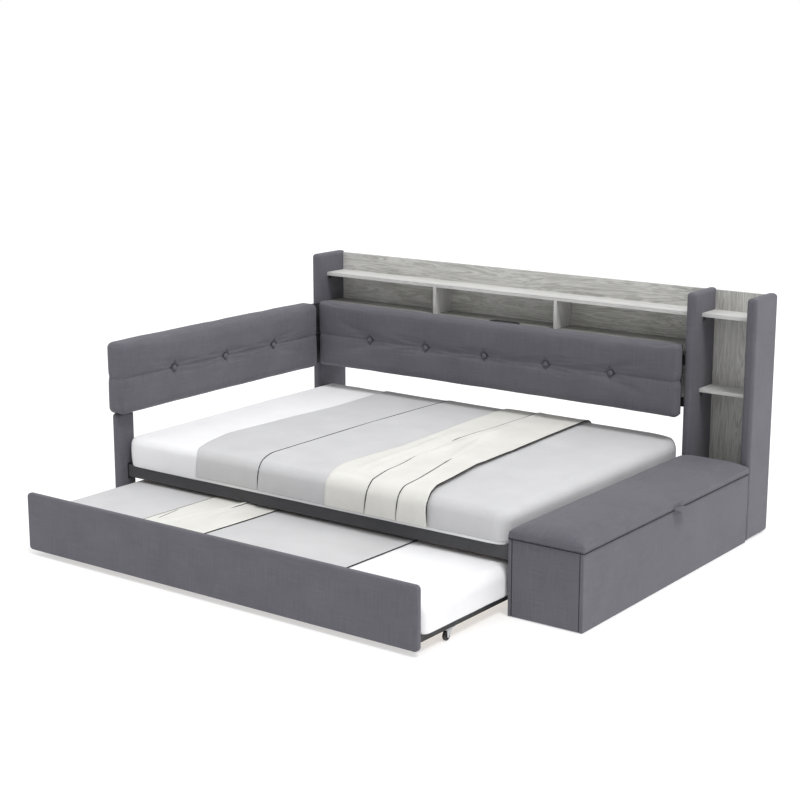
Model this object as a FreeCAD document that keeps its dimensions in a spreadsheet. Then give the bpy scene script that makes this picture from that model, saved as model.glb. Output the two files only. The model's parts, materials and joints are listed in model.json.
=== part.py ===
import FreeCAD, Part
import Sketcher
import os
import re

# Daybed with a bookcase back, a padded arm, a lidded storage box and a pull-out trundle bed.
# Millimetres, +Z up. Lengths run along X from the arm to the storage box, and depths along Y
# from the storage box's front (Y 0) to the wall side. The frame is then moved so that its
# origin is the middle of the whole object's footprint, on the floor.

Vector = FreeCAD.Vector
doc = FreeCAD.newDocument("trundle_bed")

DIMENSIONS = {
    # posts, leg and floor glides
    "post_thick": 40, "post_depth": 208, "post_height": 1000, "post_front": 1307,
    "middle_post_x": 1957, "right_post_x": 2220, "upholstery_round": 16, "outer_wrap": 4,
    "leg_thick": 33, "leg_depth": 100, "leg_front": -17,
    "glide_height": 3, "glide_radius": 12, "glide_inset": 20,
    # bookcase
    "board_thick": 15, "panel_top": 992, "panel_front": 1493, "back_panel_bottom": 482,
    "tower_panel_bottom": 60, "shelf_top": 910, "shelf_front": 1368, "low_shelf_top": 596,
    "tower_shelf_front": 1376, "cubby_floor_top": 772, "cubby_floor_front": 1322,
    "divider_first": 658, "divider_second": 1297,
    "bracket_leg": 18, "bracket_width": 14, "bracket_sheet": 2, "bracket_front_inset": 12,
    "bracket_rear_inset": 30, "bracket_low_inset": 40,
    "hub_length": 140, "hub_width": 44, "hub_rise": 7, "hub_drop": 30, "hub_x": 1055, "hub_y": 1352,
    "socket_side": 24, "socket_pitch": 42, "socket_depth": 3, "socket_sink": 1, "hub_fit": 1, "hub_lip": 5,
    # padded backrest
    "backrest_left": 68, "backrest_right": 1951, "backrest_front": 1262, "backrest_board_front": 1304,
    "core_thick": 18, "backrest_bottom": 482, "backrest_top": 787, "core_margin": 8,
    "backrest_pitch": 317, "backrest_middle": 1005, "button_height": 634,
    "button_radius": 11, "button_thick": 7, "button_sink": 9, "button_dome": 1.4, "well_fit": 2,
    "back_bracket_side": 40, "back_bracket_root": 30, "back_bracket_low": 40, "back_bracket_high": 90,
    # padded arm
    "arm_outer": -13, "arm_inner": 81, "arm_front": -30, "arm_back": 1251,
    "arm_bottom": 475, "arm_top": 778, "arm_core_x": 27, "arm_button_middle": 610,
    "arm_button_pitch": 324, "arm_button_drop": 5, "pad_round": 22,
    # bed base
    "rail_bottom": 196, "rail_top": 249, "rail_front": 34, "rail_thick": 26, "rear_rail_front": 1400,
    "end_rail_inset": 4, "end_rail_thick": 26, "plate_sheet": 3, "plate_margin": 3,
    "slat_thick": 16, "slat_width": 64, "ledger_side": 20, "beam_width": 30, "beam_wall": 2,
    "beam_middle": 715, "slat_count": 13, "slat_margin": 20,
    "mattress_left": 42, "mattress_right": 1945, "mattress_front": 20, "mattress_back": 1390,
    "mattress_top": 375, "mattress_round": 26,
    # bedding laid over the mattresses
    "cloth_thick": 5, "cover_left": 360, "throw_left": 1085, "throw_right": 1560,
    "cover_drop": 120, "cover_end_gap": 3, "trundle_cover_left": 72, "trundle_cover_right": 1505,
    # storage box
    "box_right": 2264, "box_panel": 15, "box_top": 289, "box_floor_z": 30, "box_floor_thick": 12,
    "lid_gap": 1, "lid_board_thick": 14, "lid_edge_height": 14, "lid_crown": 27, "lid_back": 1305,
    "hinge_axis_x": 1953, "hinge_axis_z": 312, "knuckle_radius": 3.4, "hinge_pin_radius": 1.5,
    "hinge_pin_fit": 1.55, "leaf_sheet": 2, "hinge_length": 80, "leaf_lower_drop": 36,
    "hinge_end_inset": 150, "knuckle_gap": 1, "tongue_lap": 2, "cut_over": 1,
    "tab_width": 76, "tab_y": 650, "tab_bottom": 262, "tab_proud": 5,
    # trundle
    "trundle_left": 36, "trundle_right": 1942, "trundle_front": -525, "trundle_panel_thick": 25,
    "trundle_bottom": 20, "trundle_top": 253, "trundle_corner": 17, "trundle_panel_round": 8,
    "rail_round": 4, "spacer_height": 139, "box_inset": 1,
    "tube_width": 25, "tube_bottom": 45, "tube_top": 68, "side_rail_left": 60, "side_rail_right": 1905,
    "trundle_back": 478, "tube_wall": 2, "trundle_slat_thick": 12, "trundle_slat_count": 12,
    "trundle_slat_margin": 10, "trundle_ledger_gap": 5,
    "trundle_mattress_left": 42, "trundle_mattress_right": 1942, "trundle_mattress_top": 178,
    "trundle_mattress_front": -495, "trundle_mattress_round": 24,
    # casters
    "wheel_radius": 17, "wheel_width": 14, "tread_round": 3, "axle_radius": 2.5, "axle_fit": 2.56,
    "caster_trail": 13, "cheek_sheet": 2, "cheek_gap": 1, "crown_bottom": 37, "crown_top": 39,
    "kingpin_radius": 5, "plate_thick": 3, "plate_length": 52, "plate_hole_pitch": 38,
    "plate_hole": 2.2, "kingpin_fit": 0.08, "kingpin_lap": 0.5, "kingpin_rise": 2,
    "axle_boss": 6, "cheek_rear": 12, "cheek_rake": 5, "crown_overhang": 11,
    "wheel_hub": 6, "web_inner": 6.5, "web_outer": 11.5, "rim_inner": 12.5, "web_sunk": 2.5,
    "caster_front_y": -310, "caster_rear_y": 330,
}
DIMENSIONS["frame_x"] = (DIMENSIONS["arm_outer"] + DIMENSIONS["box_right"] + DIMENSIONS["tab_proud"]) / 2
DIMENSIONS["frame_y"] = (DIMENSIONS["trundle_front"] + DIMENSIONS["post_front"] + DIMENSIONS["post_depth"]) / 2

sheet = doc.addObject("Spreadsheet::Sheet", "Dims")
for row, (alias, number) in enumerate(DIMENSIONS.items(), start=1):
    sheet.set(f"A{row}", alias)
    sheet.set(f"B{row}", str(number))
    sheet.setAlias(f"B{row}", alias)
doc.recompute()

ALIAS_PATTERN = re.compile(r"\b(" + "|".join(sorted(DIMENSIONS, key=len, reverse=True)) + r")\b")
nodes = []


def formula(text):
    """Turn plain alias names in a formula into references to the sheet."""
    return ALIAS_PATTERN.sub(r"Dims.\1", str(text))


def value(text):
    """The number that a formula gives, for choices that the geometry makes once."""
    return float(sheet.evalExpression(formula(text)))


def bind(target, **properties):
    for name, text in properties.items():
        target.setExpression(name, formula(text))


def place(target, x, y, z):
    """Put an object's own origin at a point given from the bed's left front corner."""
    target.setExpression("Placement.Base.x", formula(f"({x}) - frame_x"))
    target.setExpression("Placement.Base.y", formula(f"({y}) - frame_y"))
    target.setExpression("Placement.Base.z", formula(z))


def node(target, label):
    target.Label = label
    nodes.append(target)
    return target


def block(x, y, z, dx, dy, dz):
    box = doc.addObject("Part::Box", "Block")
    bind(box, Length=dx, Width=dy, Height=dz)
    place(box, x, y, z)
    return box


def board(label, x, y, z, dx, dy, dz):
    return node(block(x, y, z, dx, dy, dz), label)


def cylinder(x, y, z, radius, height, axis=Vector(0, 0, 1)):
    rod = doc.addObject("Part::Cylinder", "Rod")
    bind(rod, Radius=radius, Height=height)
    rod.Placement.Rotation = FreeCAD.Rotation(Vector(0, 0, 1), axis)
    place(rod, x, y, z)
    return rod


def group(label, members):
    compound = doc.addObject("Part::Compound", label)
    compound.Links = members
    return node(compound, label)


def fuse(members):
    joined = doc.addObject("Part::MultiFuse", "Joined")
    joined.Shapes = members
    joined.Refine = True
    return joined


def cut(base, tool):
    result = doc.addObject("Part::Cut", "Trimmed")
    result.Base = base
    result.Tool = tool
    return result


def round_all(base, radius):
    """Round every edge of a solid by a radius from the sheet."""
    doc.recompute()
    rounded = doc.addObject("Part::Fillet", "Rounded")
    rounded.Base = base
    count = len(base.Shape.Edges)
    rounded.Edges = [(index, value(radius), value(radius)) for index in range(1, count + 1)]
    return rounded


def own_plane(body, role):
    return next(item for item in body.Origin.OriginFeatures if item.Role == role)


def new_body(name):
    return doc.addObject("PartDesign::Body", name)


def new_sketch(body, role):
    sketch = body.newObject("Sketcher::SketchObject", "Outline")
    sketch.AttachmentSupport = [(own_plane(body, role), "")]
    sketch.MapMode = "FlatFace"
    return sketch


def rectangle(sketch, width, height):
    """A rectangle from the sketch's origin, with its two sizes bound to the sheet."""
    corners = [Vector(0, 0), Vector(10, 0), Vector(10, 10), Vector(0, 10)]
    sides = len(corners)
    for index in range(sides):
        line = Part.LineSegment(corners[index], corners[(index + 1) % sides])
        sketch.addGeometry(line, False)
    for index in range(sides):
        sketch.addConstraint(Sketcher.Constraint("Coincident", index, 2, (index + 1) % sides, 1))
    sketch.addConstraint(Sketcher.Constraint("Coincident", 0, 1, -1, 1))
    for index in (0, 2):
        sketch.addConstraint(Sketcher.Constraint("Horizontal", index))
    for index in (1, 3):
        sketch.addConstraint(Sketcher.Constraint("Vertical", index))
    across = sketch.addConstraint(Sketcher.Constraint("DistanceX", 0, 1, 0, 2, 10))
    up = sketch.addConstraint(Sketcher.Constraint("DistanceY", 1, 1, 1, 2, 10))
    sketch.renameConstraint(across, "across")
    sketch.renameConstraint(up, "up")
    sketch.setExpression("Constraints.across", formula(width))
    sketch.setExpression("Constraints.up", formula(height))


def pad(body, sketch, length):
    feature = body.newObject("PartDesign::Pad", "Pad")
    feature.Profile = sketch
    bind(feature, Length=length)
    doc.recompute()
    return feature


def fillet(body, feature, radius, wanted):
    """Round the edges of a feature whose direction or place passes a test."""
    doc.recompute()
    names = [f"Edge{i}" for i, edge in enumerate(feature.Shape.Edges, start=1) if wanted(edge)]
    rounding = body.newObject("PartDesign::Fillet", "Fillet")
    rounding.Base = (feature, names)
    bind(rounding, Radius=radius)
    doc.recompute()
    return rounding


def runs_along(axis):
    return lambda edge: abs(edge.tangentAt(edge.FirstParameter).dot(axis)) > 0.99


def padded_post(label, x, y, dx, dy, bottom, top):
    """An upholstered upright: a board wrapped in cloth, with every edge rounded."""
    body = new_body(label)
    sketch = new_sketch(body, "XY_Plane")
    rectangle(sketch, dx, dy)
    upright = pad(body, sketch, f"{top} - {bottom}")
    fillet(body, upright, "upholstery_round", lambda edge: True)
    place(body, x, y, bottom)
    return node(body, label)


def angle_bracket(x, y, z, side):
    """A small steel angle under a shelf, against an upright; side is +1 or -1 along X."""
    start = x if side > 0 else f"({x}) - bracket_leg"
    flat = block(start, y, f"({z}) - bracket_sheet", "bracket_leg", "bracket_width", "bracket_sheet")
    upright_x = x if side > 0 else f"({x}) - bracket_sheet"
    upright = block(upright_x, y, f"({z}) - bracket_leg", "bracket_sheet", "bracket_width", "bracket_leg")
    return fuse([flat, upright])


# ---- uprights, each standing on small glides -------------------------------------------------

padded_post("left_post", "-outer_wrap", "post_front", "post_thick + outer_wrap", "post_depth",
            "glide_height", "post_height")
padded_post("middle_post", "middle_post_x", "post_front", "post_thick", "post_depth",
            "glide_height", "post_height")
padded_post("right_post", "right_post_x", "post_front", "box_right - right_post_x", "post_depth",
            "glide_height", "post_height")
padded_post("front_leg", "-outer_wrap", "leg_front", "leg_thick + outer_wrap", "leg_depth",
            "glide_height", "arm_bottom")


def glide(x, y):
    return cylinder(x, y, 0, "glide_radius", "glide_height")


glides = []
for post_x in ("0", "middle_post_x", "right_post_x"):
    for depth in ("post_front + 2 * glide_inset", "post_front + post_depth - 2 * glide_inset"):
        glides.append(glide(f"{post_x} + post_thick / 2", depth))
for depth in ("leg_front + 1.5 * glide_inset", "leg_front + leg_depth - 1.5 * glide_inset"):
    glides.append(glide("leg_thick / 2", depth))
for side in ("middle_post_x + 2 * glide_inset", "box_right - 2 * glide_inset"):
    for depth in ("2 * glide_inset", "post_front / 2", "post_front - 2 * glide_inset"):
        glides.append(cylinder(side, depth, 0, "glide_radius", "box_floor_z"))
group("floor_glides", glides)

# ---- bookcase ---------------------------------------------------------------------------------

BAY = "middle_post_x - post_thick"
SHELF_DEPTH = "panel_front - shelf_front"
board("back_panel", "post_thick", "panel_front", "back_panel_bottom",
      BAY, "board_thick", "panel_top - back_panel_bottom")
board("tower_back_panel", "middle_post_x + post_thick", "panel_front", "tower_panel_bottom",
      "right_post_x - middle_post_x - post_thick", "board_thick", "panel_top - tower_panel_bottom")
board("long_shelf", "post_thick", "shelf_front", "shelf_top - board_thick",
      BAY, SHELF_DEPTH, "board_thick")
hub_hole = block("hub_x - hub_length / 2", "hub_y - hub_width / 2", "cubby_floor_top - 2 * board_thick",
                 "hub_length", "hub_width", "4 * board_thick")
cubby_floor = block("post_thick", "cubby_floor_front", "cubby_floor_top - board_thick",
                    BAY, "panel_front - cubby_floor_front", "board_thick")
node(cut(cubby_floor, hub_hole), "cubby_floor")
group("shelf_dividers", [
    block(divider, "shelf_front", "cubby_floor_top", "board_thick", SHELF_DEPTH,
          "shelf_top - board_thick - cubby_floor_top")
    for divider in ("divider_first", "divider_second")
])
group("tower_shelves", [
    block("middle_post_x + post_thick", "tower_shelf_front", f"{top} - board_thick",
          "right_post_x - middle_post_x - post_thick", "panel_front - tower_shelf_front", "board_thick")
    for top in ("shelf_top", "low_shelf_top")
])

bracket_places = []
for top in ("shelf_top", "low_shelf_top"):
    bracket_places.append(("middle_post_x + post_thick", "tower_shelf_front + bracket_front_inset", top, 1))
    bracket_places.append(("right_post_x", "tower_shelf_front + bracket_front_inset", top, -1))
    bracket_places.append(("middle_post_x + post_thick", "panel_front - bracket_rear_inset", top, 1))
    bracket_places.append(("right_post_x", "panel_front - bracket_rear_inset", top, -1))
bracket_places.append(("post_thick", "shelf_front + bracket_front_inset", "shelf_top", 1))
bracket_places.append(("middle_post_x", "shelf_front + bracket_front_inset", "shelf_top", -1))
bracket_places.append(("post_thick", "shelf_front + bracket_low_inset", "cubby_floor_top", 1))
bracket_places.append(("middle_post_x", "shelf_front + bracket_low_inset", "cubby_floor_top", -1))
group("shelf_brackets", [
    angle_bracket(x, y, f"{top} - board_thick", side) for x, y, top, side in bracket_places
])

# power hub let into the cubby floor: a case, a rim that stands proud, and its socket inserts
hub_case = block("hub_x - hub_length / 2 + hub_fit", "hub_y - hub_width / 2 + hub_fit",
                 "cubby_floor_top - hub_drop", "hub_length - 2 * hub_fit", "hub_width - 2 * hub_fit",
                 "hub_drop")
hub_rim = block("hub_x - hub_length / 2 - hub_lip", "hub_y - hub_width / 2 - hub_lip",
                "cubby_floor_top", "hub_length + 2 * hub_lip", "hub_width + 2 * hub_lip", "hub_rise")
socket_blocks = [
    block(f"hub_x - socket_side / 2 + ({index}) * socket_pitch", "hub_y - socket_side / 2",
          "cubby_floor_top + hub_rise - socket_depth", "socket_side", "socket_side", "socket_depth")
    for index in (-1, 0, 1)
]
hub_body = fuse([hub_case, hub_rim])
socket_tools = doc.addObject("Part::Compound", "SocketTools")
socket_tools.Links = socket_blocks
node(cut(hub_body, socket_tools), "hub_case")
group("hub_sockets", [
    block(f"hub_x - socket_side / 2 + ({index}) * socket_pitch", "hub_y - socket_side / 2",
          "cubby_floor_top + hub_rise - socket_depth", "socket_side", "socket_side", "socket_depth - socket_sink")
    for index in (-1, 0, 1)
])

# ---- padded backrest ---------------------------------------------------------------------------

board("backrest_board", "backrest_left + core_margin", "backrest_board_front",
      "backrest_bottom + core_margin", "backrest_right - backrest_left - 2 * core_margin",
      "core_thick", "backrest_top - backrest_bottom - 2 * core_margin")
backrest_pad = block("backrest_left", "backrest_front", "backrest_bottom",
                     "backrest_right - backrest_left", "backrest_board_front - backrest_front",
                     "backrest_top - backrest_bottom")
front_wells = [
    cylinder(f"backrest_middle + ({index}) * backrest_pitch", "backrest_front + button_sink",
             "button_height", "button_radius + well_fit", "button_sink + cut_over", Vector(0, -1, 0))
    for index in range(-2, 3)
]
well_group = doc.addObject("Part::Compound", "BackrestWells")
well_group.Links = front_wells
node(cut(round_all(backrest_pad, "upholstery_round"), well_group), "backrest_pad")


def domed_button(x, y, z, axis):
    """A covered button: a short disc with a spherical front, seated at the bottom of its well."""
    disc = cylinder(x, y, z, "button_radius", "button_thick", axis)
    ball = doc.addObject("Part::Sphere", "Dome")
    bind(ball, Radius="button_radius * button_dome")
    back = "button_radius * button_dome - button_thick"
    place(ball, f"({x}) - ({axis.x}) * ({back})", f"({y}) - ({axis.y}) * ({back})", z)
    domed = doc.addObject("Part::Common", "Button")
    domed.Base = disc
    domed.Tool = ball
    return domed


group("backrest_buttons", [
    domed_button(f"backrest_middle + ({index}) * backrest_pitch", "backrest_front + button_sink",
                 "button_height", Vector(0, -1, 0))
    for index in range(-2, 3)
])


def backrest_bracket(x, z, side):
    """Steel angle from a post's inner face to the back of the backrest's board."""
    reach = "backrest_left + core_margin + back_bracket_side - post_thick"
    start = x if side > 0 else f"({x}) - ({reach})"
    wing = block(start, "backrest_board_front + core_thick", z, reach, "plate_sheet",
                 "back_bracket_side")
    root_x = x if side > 0 else f"({x}) - plate_sheet"
    root = block(root_x, "backrest_board_front + core_thick", z, "plate_sheet",
                 "back_bracket_root", "back_bracket_side")
    return fuse([wing, root])


group("backrest_brackets", [
    backrest_bracket(x, z, side)
    for x, side in (("post_thick", 1), ("middle_post_x", -1))
    for z in ("backrest_bottom + back_bracket_low", "backrest_top - back_bracket_high")
])

# ---- padded arm --------------------------------------------------------------------------------

board("arm_board", "arm_core_x", "arm_front + core_margin", "arm_bottom", "core_thick",
      "arm_back - arm_front - 2 * core_margin", "arm_top - arm_bottom - core_margin")
arm_block = round_all(block("arm_outer", "arm_front", "arm_bottom", "arm_inner - arm_outer",
                            "arm_back - arm_front", "arm_top - arm_bottom"), "pad_round")
arm_slot = block("arm_core_x", "arm_front + core_margin", "arm_bottom - cut_over", "core_thick",
                 "arm_back - arm_front", "arm_top - arm_bottom - core_margin + cut_over")
arm_wells = doc.addObject("Part::Compound", "ArmWells")
arm_wells.Links = [
    cylinder("arm_inner - button_sink", f"arm_button_middle + ({index}) * arm_button_pitch",
             "button_height - arm_button_drop", "button_radius + well_fit", "button_sink + cut_over", Vector(1, 0, 0))
    for index in (-1, 0, 1)
]
node(cut(cut(arm_block, arm_slot), arm_wells), "arm_pad")
group("arm_buttons", [
    domed_button("arm_inner - button_sink", f"arm_button_middle + ({index}) * arm_button_pitch",
                 "button_height - arm_button_drop", Vector(1, 0, 0))
    for index in (-1, 0, 1)
])
group("arm_rear_spacers", [
    block("arm_core_x", "arm_back - core_margin", z, "post_thick - arm_core_x",
          "post_front - arm_back + core_margin", "spacer_height")
    for z in ("arm_bottom + core_margin", "arm_top - core_margin - spacer_height")
])

# ---- bed base ----------------------------------------------------------------------------------


def padded_rail(label, x, y, dx, dy):
    """A cloth-covered rail with its long edges eased."""
    body = new_body(label)
    sketch = new_sketch(body, "XY_Plane")
    rectangle(sketch, dx, dy)
    bar = pad(body, sketch, "rail_top - rail_bottom")
    along = Vector(1, 0, 0) if value(dx) > value(dy) else Vector(0, 1, 0)
    fillet(body, bar, "rail_round", runs_along(along))
    place(body, x, y, "rail_bottom")
    return node(body, label)


padded_rail("front_rail", "leg_thick + plate_sheet", "rail_front",
            "middle_post_x - leg_thick - 2 * plate_sheet", "rail_thick")
padded_rail("rear_rail", "post_thick + plate_sheet", "rear_rail_front",
            f"{BAY} - 2 * plate_sheet", "rail_thick")
padded_rail("left_end_rail", "end_rail_inset", "leg_front + leg_depth", "end_rail_thick",
            "post_front - leg_front - leg_depth")
padded_rail("right_end_rail", "middle_post_x - end_rail_thick", "rail_front + rail_thick + plate_margin",
            "end_rail_thick", "rear_rail_front - rail_front - rail_thick - 2 * plate_margin")


def end_plate(x, y):
    """Steel plate between a rail's end and the upright that it is bolted to."""
    return block(x, f"({y}) - plate_margin", "rail_bottom - 2 * plate_margin", "plate_sheet",
                 "rail_thick + 2 * plate_margin", "rail_top - rail_bottom + 4 * plate_margin")


group("rail_plates", [
    end_plate("leg_thick", "rail_front"),
    end_plate("middle_post_x - plate_sheet", "rail_front"),
    end_plate("post_thick", "rear_rail_front"),
    end_plate("middle_post_x - plate_sheet", "rear_rail_front"),
])

SLAT_BASE = "rail_top - slat_thick"
LEDGER_LEFT = "post_thick + plate_sheet"
LEDGER_SPAN = "middle_post_x - end_rail_thick - post_thick - 2 * plate_sheet"
group("slat_ledgers", [
    block(LEDGER_LEFT, y, f"{SLAT_BASE} - ledger_side", LEDGER_SPAN, "ledger_side", "ledger_side")
    for y in ("rail_front + rail_thick", "rear_rail_front - ledger_side")
])


def tube(x, y, z, dx, dy, dz, axis, wall):
    """A square steel tube, open at both ends along one axis."""
    outer = block(x, y, z, dx, dy, dz)
    hollow = [[x, y, z], [dx, dy, dz]]
    for place_index in range(3):
        if place_index == axis:
            hollow[0][place_index] = f"({hollow[0][place_index]}) - cut_over"
            hollow[1][place_index] = f"({hollow[1][place_index]}) + 2 * cut_over"
        else:
            hollow[0][place_index] = f"({hollow[0][place_index]}) + {wall}"
            hollow[1][place_index] = f"({hollow[1][place_index]}) - 2 * {wall}"
    return cut(outer, block(*hollow[0], *hollow[1]))


ALONG_X = 0
ALONG_Y = 1
node(tube("end_rail_inset + end_rail_thick", "beam_middle - beam_width / 2",
          f"{SLAT_BASE} - beam_width",
          "middle_post_x - 2 * end_rail_thick - end_rail_inset", "beam_width", "beam_width",
          ALONG_X, "beam_wall"), "centre_beam")

slat_count = round(value("slat_count"))
SLAT_PITCH = "(middle_post_x - end_rail_thick - post_thick - slat_width - 2 * slat_margin) / (slat_count - 1)"
group("slats", [
    block(f"post_thick + slat_margin + {index} * {SLAT_PITCH}", "rail_front + rail_thick", SLAT_BASE,
          "slat_width", "rear_rail_front - rail_front - rail_thick", "slat_thick")
    for index in range(slat_count)
])

node(round_all(block("mattress_left", "mattress_front", "rail_top",
                     "mattress_right - mattress_left", "mattress_back - mattress_front",
                     "mattress_top - rail_top"), "mattress_round"), "mattress")


def cloth_cover(left, right, front, back, base, thickness, drop):
    """Cloth laid over a mattress: a flat part on top and a part that hangs down in front."""
    flat = block(left, front, base, f"({right}) - ({left})", f"({back}) - ({front})", thickness)
    fall = block(left, f"({front}) - ({thickness})", f"({base}) - ({drop})",
                 f"({right}) - ({left})", thickness, f"({drop}) + ({thickness})")
    return fuse([flat, fall])


node(cloth_cover("cover_left", "mattress_right - cover_end_gap", "mattress_front", "mattress_back",
                 "mattress_top", "cloth_thick", "cover_drop"), "bed_cover")
node(cloth_cover("throw_left", "throw_right", "mattress_front - cloth_thick", "mattress_back",
                 "mattress_top + cloth_thick", "cloth_thick", "cover_drop"), "bed_throw")

# ---- storage box -------------------------------------------------------------------------------

SIDE_HEIGHT = "box_top - glide_height"
INNER_WIDTH = "box_right - middle_post_x - 2 * box_panel"
for label, x, y, width, depth in (
    ("box_left_panel", "middle_post_x", 0, "box_panel", "post_front"),
    ("box_right_panel", "box_right - box_panel", 0, "box_panel", "post_front"),
    ("box_front_panel", "middle_post_x + box_panel", "box_inset", INNER_WIDTH, "box_panel"),
):
    body = new_body(label)
    sketch = new_sketch(body, "XY_Plane")
    rectangle(sketch, width, depth)
    upright_board = pad(body, sketch, SIDE_HEIGHT)
    fillet(body, upright_board, "rail_round", runs_along(Vector(0, 0, 1)))
    place(body, x, y, "glide_height")
    node(body, label)
board("box_back_panel", "middle_post_x + box_panel", "post_front - box_panel", "glide_height",
      INNER_WIDTH, "box_panel", SIDE_HEIGHT)
board("box_floor", "middle_post_x + box_panel", "box_inset + box_panel", "box_floor_z",
      INNER_WIDTH, "post_front - 2 * box_panel - box_inset", "box_floor_thick")

LID_BASE = "box_top + lid_gap"
LID_WIDTH = "box_right - middle_post_x"
board("lid_board", "middle_post_x", 0, LID_BASE, LID_WIDTH, "lid_back", "lid_board_thick")


def crowned_pad(label):
    """The lid's upholstery: flat below, upright edges, and a top that rises in one arc."""
    width = value(LID_WIDTH)
    edge = value("lid_edge_height")
    crown = edge + value("lid_crown")
    body = new_body(label)
    sketch = new_sketch(body, "XZ_Plane")
    lines = [(Vector(0, edge), Vector(0, 0)), (Vector(0, 0), Vector(width, 0)),
             (Vector(width, 0), Vector(width, edge))]
    for start, end in lines:
        sketch.addGeometry(Part.LineSegment(start, end), False)
    sketch.addGeometry(Part.Arc(Vector(width, edge), Vector(width / 2, crown), Vector(0, edge)), False)
    joins = [(0, 2, 1, 1), (1, 2, 2, 1), (2, 2, 3, 1), (3, 2, 0, 1), (1, 1, -1, 1)]
    for join in joins:
        sketch.addConstraint(Sketcher.Constraint("Coincident", *join))
    sketch.addConstraint(Sketcher.Constraint("Vertical", 0))
    sketch.addConstraint(Sketcher.Constraint("Horizontal", 1))
    sketch.addConstraint(Sketcher.Constraint("Vertical", 2))
    bow = f"(({LID_WIDTH}) * ({LID_WIDTH}) / 4 + lid_crown * lid_crown) / (2 * lid_crown)"
    bound = [
        ("across", Sketcher.Constraint("DistanceX", 1, 1, 1, 2, width), LID_WIDTH),
        ("left_edge", Sketcher.Constraint("DistanceY", 0, 2, 0, 1, edge), "lid_edge_height"),
        ("right_edge", Sketcher.Constraint("DistanceY", 2, 1, 2, 2, edge), "lid_edge_height"),
        ("bow", Sketcher.Constraint("Radius", 3, value(bow)), bow),
    ]
    for name, constraint, text in bound:
        index = sketch.addConstraint(constraint)
        sketch.renameConstraint(index, name)
        sketch.setExpression(f"Constraints.{name}", formula(text))
    pad(body, sketch, "lid_back")
    place(body, "middle_post_x", "lid_back", f"{LID_BASE} + lid_board_thick")
    return node(body, label)


crowned_pad("lid_pad")
board("lid_pull_tab", "box_right", "tab_y", "tab_bottom", "tab_proud", "tab_width",
      f"{LID_BASE} + lid_board_thick - tab_bottom")

# three raised-barrel hinges on the bed side, each with a box leaf, a lid leaf and a pin
HINGE_THIRD = "hinge_length / 3"
hinge_starts = ("hinge_end_inset", "post_front / 2 - hinge_length / 2",
                "post_front - hinge_end_inset - hinge_length")
LEAF_X = "middle_post_x - leaf_sheet"
KNUCKLE_AXIS = Vector(0, 1, 0)


def knuckle(y, length):
    """A hinge barrel round the pin's axis, joined to its leaf by a short tongue."""
    barrel = cylinder("hinge_axis_x", y, "hinge_axis_z", "knuckle_radius", length, KNUCKLE_AXIS)
    bore = cylinder("hinge_axis_x", f"({y}) - cut_over", "hinge_axis_z", "hinge_pin_fit",
                    f"({length}) + 2 * cut_over", KNUCKLE_AXIS)
    return barrel, bore


def box_leaf(start):
    plate = block(LEAF_X, start, "box_top - leaf_lower_drop", "leaf_sheet", "hinge_length",
                  "leaf_lower_drop - knuckle_gap")
    solids = [plate]
    bores = []
    for y in (start, f"{start} + 2 * {HINGE_THIRD} + knuckle_gap"):
        barrel, bore = knuckle(y, f"{HINGE_THIRD} - knuckle_gap")
        tongue = block(LEAF_X, y, "box_top - tongue_lap", "leaf_sheet",
                       f"{HINGE_THIRD} - knuckle_gap", "hinge_axis_z - box_top + tongue_lap")
        solids += [barrel, tongue]
        bores.append(bore)
    leaf = fuse(solids)
    for bore in bores:
        leaf = cut(leaf, bore)
    return leaf


def lid_leaf(start):
    y = f"{start} + {HINGE_THIRD}"
    barrel, bore = knuckle(y, HINGE_THIRD)
    tongue = block(LEAF_X, y, f"{LID_BASE} + knuckle_gap", "leaf_sheet", HINGE_THIRD,
                   f"hinge_axis_z - ({LID_BASE}) - knuckle_gap")
    return cut(fuse([barrel, tongue]), bore)


group("hinge_box_leaves", [box_leaf(start) for start in hinge_starts])
group("hinge_lid_leaves", [lid_leaf(start) for start in hinge_starts])
group("hinge_pins", [
    cylinder("hinge_axis_x", f"{start} - knuckle_gap", "hinge_axis_z", "hinge_pin_radius",
             "hinge_length + 2 * knuckle_gap", KNUCKLE_AXIS)
    for start in hinge_starts
])

# ---- trundle -----------------------------------------------------------------------------------

panel = new_body("trundle_panel")
panel_outline = new_sketch(panel, "XZ_Plane")
rectangle(panel_outline, "trundle_right - trundle_left", "trundle_top - trundle_bottom")
panel_pad = pad(panel, panel_outline, "trundle_panel_thick")
rounded_corners = fillet(panel, panel_pad, "trundle_corner", runs_along(Vector(0, 1, 0)))
fillet(panel, rounded_corners, "trundle_panel_round",
       lambda edge: edge.BoundBox.YLength < 0.01)
place(panel, "trundle_left", "trundle_front + trundle_panel_thick", "trundle_bottom")
node(panel, "trundle_panel")

TRUNDLE_FRAME_FRONT = "trundle_front + trundle_panel_thick"
TUBE_HEIGHT = "tube_top - tube_bottom"
group("trundle_side_rails", [
    tube(x, TRUNDLE_FRAME_FRONT, "tube_bottom", "tube_width",
         f"trundle_back - ({TRUNDLE_FRAME_FRONT})", TUBE_HEIGHT, ALONG_Y, "tube_wall")
    for x in ("side_rail_left", "side_rail_right")
])
group("trundle_cross_rails", [
    tube("side_rail_left + tube_width", y, "tube_bottom",
         "side_rail_right - side_rail_left - tube_width", "tube_width", TUBE_HEIGHT,
         ALONG_X, "tube_wall")
    for y in (TRUNDLE_FRAME_FRONT, "trundle_back - tube_width")
])
SLAT_SPAN_START = "side_rail_left + tube_width + trundle_slat_margin"
SLAT_SPAN = "side_rail_right - side_rail_left - tube_width - 2 * trundle_slat_margin - slat_width"
TRUNDLE_SLAT_BASE = "tube_top - trundle_slat_thick"
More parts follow.
